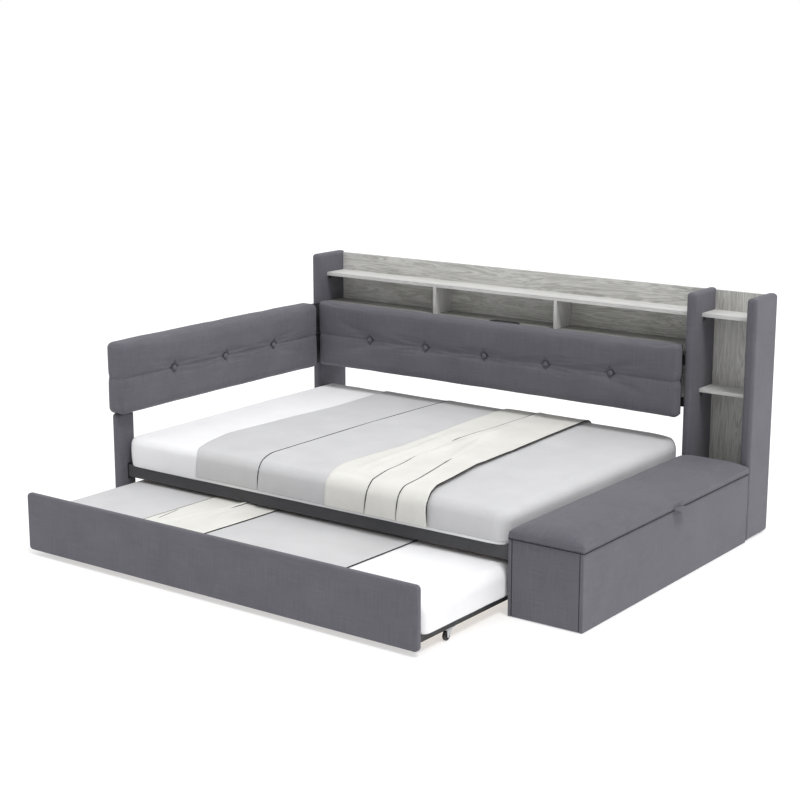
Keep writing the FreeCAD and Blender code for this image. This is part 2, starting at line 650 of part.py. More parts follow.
group("trundle_ledgers", [
    block("side_rail_left + tube_width + trundle_ledger_gap", y, f"{TRUNDLE_SLAT_BASE} - plate_sheet",
          "side_rail_right - side_rail_left - tube_width - 2 * trundle_ledger_gap", "ledger_side",
          "plate_sheet")
    for y in (f"{TRUNDLE_FRAME_FRONT} + tube_width", "trundle_back - tube_width - ledger_side")
])
trundle_slat_count = round(value("trundle_slat_count"))
group("trundle_slats", [
    block(f"{SLAT_SPAN_START} + {index} * ({SLAT_SPAN}) / (trundle_slat_count - 1)",
          f"{TRUNDLE_FRAME_FRONT} + tube_width", TRUNDLE_SLAT_BASE, "slat_width",
          f"trundle_back - ({TRUNDLE_FRAME_FRONT}) - 2 * tube_width", "trundle_slat_thick")
    for index in range(trundle_slat_count)
])
node(round_all(block("trundle_mattress_left", "trundle_mattress_front", "tube_top",
                     "trundle_mattress_right - trundle_mattress_left",
                     "trundle_back - trundle_mattress_front",
                     "trundle_mattress_top - tube_top"), "trundle_mattress_round"),
     "trundle_mattress")
board("trundle_cover", "trundle_cover_left", "trundle_mattress_front + trundle_mattress_round",
      "trundle_mattress_top", "trundle_cover_right - trundle_cover_left",
      "trundle_back - trundle_mattress_front - 2 * trundle_mattress_round", "cloth_thick")

# ---- casters: a plate screwed under the side rail, a fork that swivels, and a wheel ------------

caster_places = {
    "front_left": ("side_rail_left + tube_width / 2", "caster_front_y"),
    "front_right": ("side_rail_right + tube_width / 2", "caster_front_y"),
    "rear_left": ("side_rail_left + tube_width / 2", "caster_rear_y"),
    "rear_right": ("side_rail_right + tube_width / 2", "caster_rear_y"),
}
PLATE_BASE = "tube_bottom - plate_thick"


def caster_plate(x, y):
    plate = block(f"({x}) - tube_width / 2", f"({y}) - plate_length / 2", PLATE_BASE,
                  "tube_width", "plate_length", "plate_thick")
    through = "plate_thick + 2 * cut_over"
    plate = cut(plate, cylinder(x, y, f"{PLATE_BASE} - cut_over", "kingpin_radius + kingpin_fit", through))
    for way in (-1, 1):
        screw_hole = cylinder(x, f"({y}) + ({way}) * plate_hole_pitch / 2", f"{PLATE_BASE} - cut_over",
                              "plate_hole", through)
        plate = cut(plate, screw_hole)
    return plate


def caster_fork(x, y):
    """Crown, two raked cheeks with round ends, and the kingpin, as one pressing; and its axle."""
    axle_y = f"({y}) - caster_trail"
    cheek_in = "wheel_width / 2 + cheek_gap"
    solids = [
        block(f"({x}) - ({cheek_in}) - cheek_sheet", f"({axle_y}) - axle_boss", "crown_bottom",
              f"2 * ({cheek_in} + cheek_sheet)", "caster_trail + axle_boss + crown_overhang",
              "crown_top - crown_bottom"),
        cylinder(x, y, "crown_top - kingpin_lap", "kingpin_radius",
                 f"{PLATE_BASE} - crown_top + kingpin_lap + kingpin_rise"),
    ]
    cheeks = []
    for cheek_x in (f"({x}) - ({cheek_in}) - cheek_sheet", f"({x}) + {cheek_in}"):
        cheek = doc.addObject("Part::Wedge", "Cheek")
        bind(cheek, Xmin="0", Xmax="cheek_sheet", X2min="0", X2max="cheek_sheet",
             Ymin="0", Ymax="crown_bottom - wheel_radius",
             Zmin="0", Zmax="cheek_rear", Z2min="0 - caster_trail - cheek_rake", Z2max="cheek_rear")
        cheek.Placement.Rotation = FreeCAD.Rotation(Vector(1, 0, 0), 90)
        place(cheek, cheek_x, f"({axle_y}) + axle_boss", "wheel_radius")
        boss = cylinder(cheek_x, axle_y, "wheel_radius", "axle_boss", "cheek_sheet", Vector(1, 0, 0))
        cheeks += [cheek, boss]
    fork = fuse(solids + cheeks)
    axle_start = f"({x}) - ({cheek_in}) - cheek_sheet"
    hole = cylinder(f"({axle_start}) - cut_over", axle_y, "wheel_radius", "axle_radius",
                    f"2 * ({cheek_in} + cheek_sheet + cut_over)", Vector(1, 0, 0))
    axle = cylinder(axle_start, axle_y, "wheel_radius", "axle_radius",
                    f"2 * ({cheek_in} + cheek_sheet)", Vector(1, 0, 0))
    return [cut(fork, hole), axle]


def outline(sketch, corners):
    """A closed outline of straight lines, with every corner bound to formulas."""
    points = [Vector(value(across), value(up)) for across, up in corners]
    count = len(points)
    for index in range(count):
        sketch.addGeometry(Part.LineSegment(points[index], points[(index + 1) % count]), False)
    for index in range(count):
        sketch.addConstraint(Sketcher.Constraint("Coincident", index, 2, (index + 1) % count, 1))
    for index, (across, up) in enumerate(corners):
        if abs(points[index].x) < 1e-6:
            sketch.addConstraint(Sketcher.Constraint("PointOnObject", index, 1, -2))
        else:
            where = sketch.addConstraint(
                Sketcher.Constraint("DistanceX", -1, 1, index, 1, points[index].x))
            sketch.setExpression(f"Constraints[{where}]", formula(across))
        where = sketch.addConstraint(
            Sketcher.Constraint("DistanceY", -1, 1, index, 1, points[index].y))
        sketch.setExpression(f"Constraints[{where}]", formula(up))


def caster_wheel(label, x, y):
    """A wheel turned in one piece: tread, web sunk on both sides, and hub with its bore."""
    body = new_body(label)
    sketch = new_sketch(body, "XY_Plane")
    outline(sketch, [
        ("0", "axle_fit"), ("wheel_width", "axle_fit"), ("wheel_width", "wheel_hub"),
        ("wheel_width - web_sunk", "web_inner"), ("wheel_width - web_sunk", "web_outer"),
        ("wheel_width", "rim_inner"),
        ("wheel_width", "wheel_radius - tread_round"), ("wheel_width - tread_round", "wheel_radius"),
        ("tread_round", "wheel_radius"), ("0", "wheel_radius - tread_round"),
        ("0", "rim_inner"), ("web_sunk", "web_outer"), ("web_sunk", "web_inner"), ("0", "wheel_hub"),
    ])
    turned = body.newObject("PartDesign::Revolution", "Turned")
    turned.Profile = sketch
    turned.ReferenceAxis = (own_plane(body, "X_Axis"), [""])
    turned.Angle = 360
    place(body, f"({x}) - wheel_width / 2", f"({y}) - caster_trail", "wheel_radius")
    return node(body, label)


group("caster_plates", [caster_plate(x, y) for x, y in caster_places.values()])
for corner, (x, y) in caster_places.items():
    group(f"caster_fork_{corner}", caster_fork(x, y))
    caster_wheel(f"caster_wheel_{corner}", x, y)

# ---- checks and files --------------------------------------------------------------------------

doc.recompute()
for item in doc.Objects:
    if {"Invalid", "Error"} & set(item.State):
        raise RuntimeError(f"{item.Name} ({item.Label}) failed: {item.State}")
os.makedirs("parts", exist_ok=True)
for part_node in nodes:
    shape = part_node.Shape
    if shape.isNull() or not shape.isValid() or not shape.Solids:
        raise RuntimeError(f"{part_node.Label} has no valid solid")
    shape.exportStep(os.path.join("parts", f"{part_node.Label}.step"))
print(len(nodes), "sub-parts written")
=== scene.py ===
import json
import math

import bpy
import numpy as np
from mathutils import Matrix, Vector, noise


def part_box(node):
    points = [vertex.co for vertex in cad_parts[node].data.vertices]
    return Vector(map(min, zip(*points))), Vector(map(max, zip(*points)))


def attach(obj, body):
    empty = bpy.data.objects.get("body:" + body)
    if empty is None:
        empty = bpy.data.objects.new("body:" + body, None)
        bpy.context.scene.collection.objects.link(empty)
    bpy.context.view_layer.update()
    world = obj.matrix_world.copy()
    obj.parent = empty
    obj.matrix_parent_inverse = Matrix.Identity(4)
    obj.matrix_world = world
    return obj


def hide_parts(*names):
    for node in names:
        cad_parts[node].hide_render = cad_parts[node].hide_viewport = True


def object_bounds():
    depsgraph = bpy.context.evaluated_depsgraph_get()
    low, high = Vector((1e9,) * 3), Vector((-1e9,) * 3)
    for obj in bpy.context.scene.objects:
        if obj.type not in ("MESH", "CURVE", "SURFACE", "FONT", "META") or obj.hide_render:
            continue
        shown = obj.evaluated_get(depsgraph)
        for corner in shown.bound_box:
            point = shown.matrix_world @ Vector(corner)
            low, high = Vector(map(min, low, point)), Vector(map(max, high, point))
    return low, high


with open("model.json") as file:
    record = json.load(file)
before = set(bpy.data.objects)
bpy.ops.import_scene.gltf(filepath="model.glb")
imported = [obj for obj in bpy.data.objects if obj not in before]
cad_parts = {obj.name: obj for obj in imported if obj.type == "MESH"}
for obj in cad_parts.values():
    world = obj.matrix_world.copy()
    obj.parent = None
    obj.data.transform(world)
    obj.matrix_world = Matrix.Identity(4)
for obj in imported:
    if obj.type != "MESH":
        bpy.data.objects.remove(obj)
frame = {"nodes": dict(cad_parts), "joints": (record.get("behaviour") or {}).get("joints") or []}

CAD_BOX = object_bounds()
CAD = frame["nodes"]
TURN_LINES = 6
CORD_RING = 8


# ---- meshes

def cuts(low, high, radius, step, fine=(), fine_step=0.003):
    """Grid lines from low to high: evenly turned over each rounded end, and closer together near the fine places."""
    turn = radius * (1 - np.tan(np.linspace(math.pi / 4, 0, TURN_LINES)))
    first, last = low + radius, high - radius
    lines = [first, last]
    lines += list(np.linspace(first, last, max(2, int(round((last - first) / step)) + 1)))
    for centre, reach in fine:
        near = np.arange(centre - reach, centre + reach + fine_step / 2, fine_step)
        lines = [a for a in lines if not centre - reach < a < centre + reach]
        lines += [a for a in near if first < a < last]
    kept = []
    for a in sorted(lines):
        if not kept or a - kept[-1] > fine_step * 0.4:
            kept.append(a)
    return np.array(list(low + turn[:-1]) + kept + list(high - turn[:-1][::-1]))


def box_grid(xs, ys, zs, sides="x0 x1 y0 y1 z0 z1"):
    """Points and faces of a box's surface on those grid lines, for the sides named."""
    index, points, keys, faces = {}, [], [], []

    def at(i, j, k):
        if (i, j, k) not in index:
            index[i, j, k] = len(points)
            points.append((xs[i], ys[j], zs[k]))
            keys.append((i, j, k))
        return index[i, j, k]

    nx, ny, nz = len(xs) - 1, len(ys) - 1, len(zs) - 1
    for i in range(nx):
        for j in range(ny):
            if "z1" in sides:
                faces.append((at(i, j, nz), at(i + 1, j, nz), at(i + 1, j + 1, nz), at(i, j + 1, nz)))
            if "z0" in sides:
                faces.append((at(i, j, 0), at(i, j + 1, 0), at(i + 1, j + 1, 0), at(i + 1, j, 0)))
        for k in range(nz):
            if "y0" in sides:
                faces.append((at(i, 0, k), at(i + 1, 0, k), at(i + 1, 0, k + 1), at(i, 0, k + 1)))
            if "y1" in sides:
                faces.append((at(i, ny, k), at(i, ny, k + 1), at(i + 1, ny, k + 1), at(i + 1, ny, k)))
    for j in range(ny):
        for k in range(nz):
            if "x0" in sides:
                faces.append((at(0, j, k), at(0, j, k + 1), at(0, j + 1, k + 1), at(0, j + 1, k)))
            if "x1" in sides:
                faces.append((at(nx, j, k), at(nx, j + 1, k), at(nx, j + 1, k + 1), at(nx, j, k + 1)))
    return np.array(points, float), faces, np.array(keys)


def rounded(points, low, high, radius, lift=0.0):
    """Box surface points moved on to the rounded box, lifted off it, and the outward direction at each."""
    low, high = np.array(low, float), np.array(high, float)
    inner = np.clip(points, low + radius, high - radius)
    out = points - inner
    out /= np.maximum(np.linalg.norm(out, axis=1, keepdims=True), 1e-9)
    return inner + out * (radius + lift), out


def rounded_box(low, high, radius, steps):
    """Points and faces of a rounded box's surface, and the outward direction at each point."""
    points, faces, _ = box_grid(*(cuts(a, b, radius, step) for a, b, step in zip(low, high, steps)))
    points, way = rounded(points, low, high, radius)
    return points, faces, way


def bell(x, width):
    return np.exp(-((x / width) ** 2))


def ridge(x, centre, width):
    return bell(x - centre, width)


def ripple(points, scale, seed):
    """Smooth repeatable noise from about -1 to 1 at each point."""
    return np.array([noise.noise(Vector((p[0] * scale, p[1] * scale, p[2] * scale + seed))) for p in points])


def make(name, points, faces, material, body, slot):
    """A smooth-shaded piece that rides on a body and takes the given material."""
    mesh = bpy.data.meshes.new(name)
    mesh.from_pydata([tuple(p) for p in points], [], faces)
    mesh.validate()
    mesh.update()
    piece = bpy.data.objects.new(name, mesh)
    bpy.context.scene.collection.objects.link(piece)
    mesh.polygons.foreach_set("use_smooth", [True] * len(mesh.polygons))
    mesh.materials.append(material)
    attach(piece, body)
    return piece


def coordinates(mesh):
    co = np.zeros(len(mesh.vertices) * 3)
    mesh.vertices.foreach_get("co", co)
    return co.reshape(-1, 3)


def set_coordinates(piece, points):
    piece.data.vertices.foreach_set("co", np.asarray(points, float).ravel())
    piece.data.update()


SWELL_FRAMES = 20
CLOTH_SETTINGS = {
    "quality": 3, "mass": 0.3, "tension_stiffness": 12, "compression_stiffness": 12, "shear_stiffness": 5,
    "bending_stiffness": 1.2, "use_pressure": True, "vertex_group_mass": "held",
}


def swell(piece, held, pressure, cap):
    """Blows a closed cloth shape up with the held points fixed. No point moves further than cap."""
    scene = bpy.context.scene
    before = coordinates(piece.data)
    group = piece.vertex_groups.new(name="held")
    group.add([int(i) for i in np.nonzero(held)[0]], 1.0, "REPLACE")
    cloth = piece.modifiers.new("swell", "CLOTH")
    for setting, amount in CLOTH_SETTINGS.items():
        setattr(cloth.settings, setting, amount)
    cloth.settings.uniform_pressure_force = pressure
    cloth.settings.effector_weights.gravity = 0
    cloth.collision_settings.use_collision = False
    cloth.point_cache.frame_start = 1
    cloth.point_cache.frame_end = SWELL_FRAMES
    for step in range(1, SWELL_FRAMES + 1):
        scene.frame_set(step)
    after = coordinates(piece.evaluated_get(bpy.context.evaluated_depsgraph_get()).to_mesh())
    piece.modifiers.remove(cloth)
    piece.vertex_groups.clear()
    scene.frame_set(1)
    move = after - before
    length = np.linalg.norm(move, axis=1, keepdims=True)
    move *= np.minimum(1, cap / np.maximum(length, 1e-9))
    set_coordinates(piece, before + move)


def subdivide(piece, levels=1):
    modifier = piece.modifiers.new("smooth", "SUBSURF")
    modifier.levels = modifier.render_levels = levels


def thicken(piece, thickness):
    modifier = piece.modifiers.new("cloth", "SOLIDIFY")
    modifier.thickness = thickness
    modifier.offset = 1.0


def tube_faces(rows, ring):
    """Faces of a closed tube whose points come in rows of one ring each: its sides, then its two ends."""
    faces = []
    for row in range(rows - 1):
        for a in range(ring):
            b = (a + 1) % ring
            faces.append((row * ring + a, row * ring + b, (row + 1) * ring + b, (row + 1) * ring + a))
    return faces + [tuple(range(ring))[::-1], tuple((rows - 1) * ring + a for a in range(ring))]


def cord(name, spine, radii, guide, body, slot):
    """A round cord of near-black cloth along a run of points, standing in for a thin shadow line: painted shade. The
    guide is any direction the run never takes.
    """
    spine = np.array(spine, float)
    along = np.gradient(spine, axis=0)
    along /= np.linalg.norm(along, axis=1, keepdims=True)
    side = np.cross(along, guide)
    side /= np.linalg.norm(side, axis=1, keepdims=True)
    other = np.cross(along, side)
    turns = [2 * math.pi * a / CORD_RING for a in range(CORD_RING)]
    points = [spine[row] + radii[row] * (math.cos(turn) * side[row] + math.sin(turn) * other[row])
              for row in range(len(spine)) for turn in turns]
    return make(name, points, tube_faces(len(spine), CORD_RING), shadow_cord_cloth, body, slot)


# ---- materials

class Graph:
    """A procedural material being put together."""

    def __init__(self, name, **fixed):
        self.material = bpy.data.materials.new(name)
        self.material.use_nodes = True
        self.tree = self.material.node_tree
        self.shader = self.tree.nodes["Principled BSDF"]
        for socket, number in fixed.items():
            self.shader.inputs[socket.replace("_", " ")].default_value = number
        self.place = self.node("ShaderNodeTexCoord").outputs["Object"]

    def node(self, kind, **settings):
        made = self.tree.nodes.new(kind)
        for key, setting in settings.items():
            setattr(made, key, setting)
        return made

    def feed(self, socket, source):
        if isinstance(source, bpy.types.NodeSocket):
            self.tree.links.new(source, socket)
        else:
            socket.default_value = source

    def math(self, operation, a, b=0.0, c=0.0, clamp=False):
        made = self.node("ShaderNodeMath", operation=operation, use_clamp=clamp)
        for socket, source in zip(made.inputs, (a, b, c)):
            self.feed(socket, source)
        return made.outputs[0]

    def split(self, vector):
        made = self.node("ShaderNodeSeparateXYZ")
        self.feed(made.inputs[0], vector)
        return made.outputs

    def join(self, x, y, z=0.0):
        made = self.node("ShaderNodeCombineXYZ")
        for socket, source in zip(made.inputs, (x, y, z)):
            self.feed(socket, source)
        return made.outputs[0]

    def scaled(self, vector, factors):
        made = self.node("ShaderNodeVectorMath", operation="MULTIPLY")
        self.feed(made.inputs[0], vector)
        made.inputs[1].default_value = factors
        return made.outputs[0]

    def noise(self, vector, scale, detail=3.0, roughness=0.5, distortion=0.0):
        made = self.node("ShaderNodeTexNoise")
        self.feed(made.inputs["Vector"], vector)
        settings = {"Scale": scale, "Detail": detail, "Roughness": roughness, "Distortion": distortion}
        for socket, number in settings.items():
            made.inputs[socket].default_value = number
        return made.outputs["Fac"]

    def span(self, value, low, high, to_low=0.0, to_high=1.0):
        made = self.node("ShaderNodeMapRange", clamp=True)
        for socket, source in zip(made.inputs, (value, low, high, to_low, to_high)):
            self.feed(socket, source)
        return made.outputs[0]

    def mix(self, factor, a, b):
        made = self.node("ShaderNodeMix", data_type="RGBA")
        self.feed(made.inputs["Factor"], factor)
        for socket, source in ((made.inputs[6], a), (made.inputs[7], b)):
            self.feed(socket, source if isinstance(source, bpy.types.NodeSocket) else (*source, 1.0))
        return made.outputs[2]

    def ramp(self, value, stops):
        made = self.node("ShaderNodeValToRGB")
        self.feed(made.inputs[0], value)
        elements = made.color_ramp.elements
        while len(elements) < len(stops):
            elements.new(0.5)
        for element, (position, colour) in zip(elements, stops):
            element.position, element.color = position, (*colour, 1.0)
        return made.outputs[0]

    def finish(self, colour, roughness, height, distance):
        """Joins colour, roughness and a relief of the given depth to the shader."""
        bump = self.node("ShaderNodeBump")
        bump.inputs["Strength"].default_value = 1.0
        bump.inputs["Distance"].default_value = distance
        self.feed(bump.inputs["Height"], height)
        for socket, source in (("Base Color", colour), ("Roughness", roughness), ("Normal", bump.outputs[0])):
            self.feed(self.shader.inputs[socket], source)
        return self.material

    def on_surface(self):
        """Two distances along the surface, whichever way it mostly faces: (x, z), (y, z) or (x, y)."""
        x, y, z = self.split(self.place)
        facing = self.split(self.node("ShaderNodeTexCoord").outputs["Normal"])
        side = self.math("GREATER_THAN", self.math("ABSOLUTE", facing[0]), 0.72)
        top = self.math("GREATER_THAN", self.math("ABSOLUTE", facing[2]), 0.72)
        u = self.math("MULTIPLY_ADD", side, self.math("SUBTRACT", y, x), x)
        v = self.math("MULTIPLY_ADD", top, self.math("SUBTRACT", y, z), z)
        return u, v


def woven(name, dark, light, pitch, slub, mottle, bump, sheen, roughness=0.9):
    """A plain weave with uneven threads both ways, drifting slightly in colour."""
    g = Graph(name, Sheen_Weight=sheen, Sheen_Roughness=0.45, Specular_IOR_Level=0.25)
    u, v = g.on_surface()
    turns = 2 * math.pi / pitch
    warp = g.math("SINE", g.math("MULTIPLY", u, turns))
    weft = g.math("SINE", g.math("MULTIPLY", v, turns))
    weave = g.math("MULTIPLY_ADD", g.math("MULTIPLY", warp, weft), 0.5, 0.5)
    along = g.noise(g.scaled(g.join(u, v), (slub, 9.0, 1.0)), 1.0, 3.0, 0.6)
    across = g.noise(g.scaled(g.join(u, v), (9.0, slub, 1.0)), 1.0, 3.0, 0.6)
    threads = g.math("MULTIPLY", g.math("ADD", along, across), 0.5)
    drift = g.noise(g.place, 5.0, 3.0, 0.55)
    tone = g.math("MULTIPLY_ADD", g.span(threads, 0.34, 0.66, -1.0, 1.0), 0.5 * (1 - mottle), 0.5)
    tone = g.math("MULTIPLY_ADD", g.span(drift, 0.3, 0.7, -1.0, 1.0), 0.5 * mottle, tone)
    tone = g.math("MULTIPLY_ADD", g.math("SUBTRACT", weave, 0.5), 0.22, tone, clamp=True)
    height = g.math("MULTIPLY_ADD", weave, 0.45, g.math("MULTIPLY", threads, 0.9))
    dull = g.span(threads, 0.3, 0.7, roughness + 0.06, roughness - 0.06)
    return g.finish(g.mix(tone, dark, light), dull, height, bump)


def knit(name, dark, light, cell, bump, sheen):
    """A fine knitted or brushed cloth: small cells, soft clouds and a faint rib."""
    g = Graph(name, Sheen_Weight=sheen, Sheen_Roughness=0.5, Specular_IOR_Level=0.2)
    u, v = g.on_surface()
    cells = g.node("ShaderNodeTexVoronoi", feature="F1")
    g.feed(cells.inputs["Vector"], g.join(u, v))
    cells.inputs["Scale"].default_value = 1 / cell
    clouds = g.noise(g.place, 7.0, 4.0, 0.6)
    fuzz = g.noise(g.place, 420.0, 2.0, 0.6)
    rib = g.math("SINE", g.math("MULTIPLY", u, 2 * math.pi / (cell * 2.6)))
    tone = g.math("MULTIPLY_ADD", clouds, 0.75, g.math("MULTIPLY", fuzz, 0.25))
    height = g.math("ADD", g.math("MULTIPLY", cells.outputs["Distance"], -0.8), g.math("MULTIPLY_ADD", rib, 0.12, fuzz))
    return g.finish(g.mix(g.span(tone, 0.32, 0.68), dark, light), g.span(fuzz, 0.3, 0.7, 0.97, 0.84), height, bump)


def grained(name, along, stops, tint, bump=0.0004, roughness=0.52):
    """Wood or a wood-print foil whose grain runs along one axis (0, 1 or 2), with cathedral bands and pores."""
    g = Graph(name, Specular_IOR_Level=0.35)
    squeeze = [1.0, 1.0, 1.0]
    squeeze[along] = 0.085
    long = g.scaled(g.place, tuple(squeeze))
    bands = g.noise(long, 14.0, 4.0, 0.62, 2.1)
    rings = g.math("FRACT", g.math("MULTIPLY", bands, 7.0))
    rings = g.math("ABSOLUTE", g.math("MULTIPLY_ADD", rings, 2.0, -1.0))
    squeeze[along] = 0.03
    fine = g.noise(g.scaled(g.place, tuple(squeeze)), 330.0, 4.0, 0.7)
    pores = g.span(g.noise(g.scaled(g.place, tuple(squeeze)), 620.0, 2.0, 0.6), 0.60, 0.70)
    clouds = g.noise(g.place, 3.2, 3.0, 0.5)
    tone = g.math("ADD", g.math("MULTIPLY", rings, 0.34), g.math("MULTIPLY", fine, 0.44))
    tone = g.math("MULTIPLY_ADD", clouds, 0.32, tone)
    tone = g.math("MULTIPLY_ADD", pores, -0.16, tone)
    colour = g.mix(g.math("MULTIPLY", clouds, 0.25), g.ramp(tone, stops), tint)
    height = g.math("MULTIPLY_ADD", pores, -0.8, g.math("MULTIPLY_ADD", fine, 0.6, g.math("MULTIPLY", rings, 0.25)))
    return g.finish(colour, g.span(tone, 0.3, 0.8, roughness + 0.12, roughness - 0.08), height, bump)


def coated(name, dark, light, roughness, grain, bump, **fixed):
    """Paint, plating or moulded plastic: a fine skin texture, cloudy wear and small scuffs."""
    g = Graph(name, **fixed)
    skin = g.noise(g.place, grain, 3.0, 0.6)
    wear = g.noise(g.place, 22.0, 5.0, 0.65)
    scuffs = g.span(g.noise(g.scaled(g.place, (60.0, 60.0, 420.0)), 1.0, 2.0, 0.6), 0.62, 0.72)
    tone = g.math("MULTIPLY_ADD", scuffs, 0.25, g.math("MULTIPLY", wear, 0.75), clamp=True)
    return g.finish(g.mix(tone, dark, light), g.span(wear, 0.3, 0.7, roughness + 0.08, roughness - 0.06), skin, bump)


OAK = (
    (0.16, (0.235, 0.233, 0.215)),
    (0.36, (0.410, 0.407, 0.382)),
    (0.58, (0.580, 0.577, 0.552)),
    (0.82, (0.720, 0.717, 0.697)),
)
WHITE_OAK = tuple((position, tuple(c * 0.6 + 0.29 for c in colour)) for position, colour in OAK)
# a half-bright copy of the oak for the cubby floor: painted shade for the recess under the shelf
PAINTED_SHADE_OAK = tuple((position, tuple(c * 0.5 for c in colour)) for position, colour in OAK)
PINE = ((0.2, (0.50, 0.32, 0.15)), (0.5, (0.66, 0.46, 0.25)), (0.8, (0.78, 0.60, 0.38)))
PLY = ((0.2, (0.28, 0.19, 0.10)), (0.5, (0.42, 0.30, 0.18)), (0.8, (0.52, 0.40, 0.27)))

linen = woven("upholstery_linen", (0.098, 0.096, 0.115), (0.156, 0.153, 0.176), 0.0016, 420.0, 0.30, 0.0005, 0.17)
rail_linen = woven("rail_cloth", (0.066, 0.066, 0.072), (0.108, 0.108, 0.114), 0.0016, 420.0, 0.30, 0.0004, 0.06)
lining = woven("board_lining", (0.030, 0.030, 0.035), (0.055, 0.055, 0.062), 0.0014, 380.0, 0.3, 0.0003, 0.05)
oak_along_x = grained("grey_oak_lengthways", 0, OAK, (0.60, 0.60, 0.58))
oak_painted_shade = grained("grey_oak_painted_shade_shelf", 0, PAINTED_SHADE_OAK, (0.30, 0.30, 0.28))
oak_along_z = grained("grey_oak_upright", 2, OAK, (0.58, 0.58, 0.55))
oak_shelf = grained("grey_oak_shelf", 0, WHITE_OAK, (0.62, 0.62, 0.61))
oak_divider = grained("grey_oak_divider", 2, WHITE_OAK, (0.56, 0.56, 0.55))
pine = grained("bare_pine", 1, PINE, (0.80, 0.64, 0.43), 0.0003, 0.62)
pine_long = grained("bare_pine_lengthways", 0, PINE, (0.80, 0.64, 0.43), 0.0003, 0.62)
plywood = grained("plywood", 2, PLY, (0.50, 0.38, 0.25), 0.0003, 0.66)
ticking = knit("white_ticking", (0.87, 0.87, 0.885), (0.925, 0.925, 0.935), 0.0026, 0.0005, 0.05)
cotton = woven("light_grey_cotton", (0.555, 0.555, 0.563), (0.635, 0.635, 0.645),
               0.0012, 260.0, 0.60, 0.0002, 0.05, 0.88)
cream = knit("cream_throw", (0.70, 0.695, 0.655), (0.78, 0.775, 0.735), 0.0022, 0.0004, 0.05)
# near-black cloth for the cords that stand in for thin shadow lines: painted shade
shadow_cord_cloth = woven("dark_shadow_cord_cloth", (0.014, 0.014, 0.016), (0.030, 0.030, 0.034), 0.0010, 400.0, 0.2, 0.0002, 0.05)
powder_coat = coated("black_powder_coat", (0.010, 0.010, 0.011), (0.030, 0.030, 0.032),
                     0.46, 900.0, 0.0001, Specular_IOR_Level=0.5)
zinc = coated("zinc_plate", (0.42, 0.43, 0.45), (0.70, 0.71, 0.73), 0.34, 240.0, 0.00008, Metallic=0.9)
black_plastic = coated("black_plastic", (0.010, 0.010, 0.011), (0.028, 0.028, 0.030),
                       0.5, 1100.0, 0.0001, Specular_IOR_Level=0.45)
wheel_nylon = coated("wheel_nylon", (0.008, 0.008, 0.009), (0.022, 0.022, 0.024),
                     0.34, 700.0, 0.00006, Specular_IOR_Level=0.5)

CORNERS = ("front_left", "front_right", "rear_left", "rear_right")

FINISHES = {
    linen: "left_post middle_post right_post front_leg backrest_buttons arm_buttons trundle_panel "
           "box_left_panel box_right_panel box_front_panel box_back_panel lid_board",
    rail_linen: "front_rail rear_rail left_end_rail right_end_rail",
    lining: "backrest_board arm_board arm_rear_spacers",
    oak_along_x: "back_panel",
    # the cubby floor takes the half-bright oak: painted shade
    oak_painted_shade: "cubby_floor",
    oak_along_z: "tower_back_panel",
    oak_shelf: "long_shelf tower_shelves",
    oak_divider: "shelf_dividers",
    pine: "slats trundle_slats",
    pine_long: "slat_ledgers",
    plywood: "box_floor",
    # black powder coat for the metal parts; on the backrest brackets the black also darkens the gap behind the arm:
    # painted shade
    powder_coat: "backrest_brackets shelf_brackets rail_plates centre_beam trundle_side_rails "
                 "trundle_cross_rails trundle_ledgers",
    zinc: "hinge_box_leaves hinge_lid_leaves hinge_pins caster_plates "
          + " ".join(f"caster_fork_{corner}" for corner in CORNERS),
    black_plastic: "floor_glides",
    wheel_nylon: " ".join(f"caster_wheel_{corner}" for corner in CORNERS),
}
for finish, names in FINISHES.items():
    for node_name in names.split():
        for holder in CAD[node_name].material_slots:
            holder.material = finish


# ---- padded pieces

# a tufted pad's sewn details: how deep each goes and how far it reaches
PUFF, PUFF_SINK, PUFF_ENDS = 0.0035, 0.002, 0.06
WELL, WELL_REACH = 0.0075, 0.030
DISH, DISH_REACH = 0.003, 0.070
EDGE_PULL, EDGE_PULL_REACH = 0.0016, 0.055
END_PULL, END_PULL_REACH = 0.005, 0.016
GROOVE, GROOVE_REACH = 0.0024, 0.0042
DIAMOND_LONG, DIAMOND_TALL = 0.020, 0.027
PINCH, PINCH_REACH = 0.0042, 0.0042
COLLAR, COLLAR_AT, COLLAR_REACH = 0.0050, 0.0125, 0.0032
LIP, LIP_AT, LIP_REACH, LIP_LIMIT = 0.0016, 1.45, 0.0055, 0.06
TAIL, TAIL_WIDE, TAIL_AT, TAIL_LONG = 0.0046, 0.0042, 0.012, 0.026
WING, WING_TALL, WING_LONG = 0.0030, 0.0055, 0.050
PAD_SWELL, PAD_CAP = 0.8, 0.0045


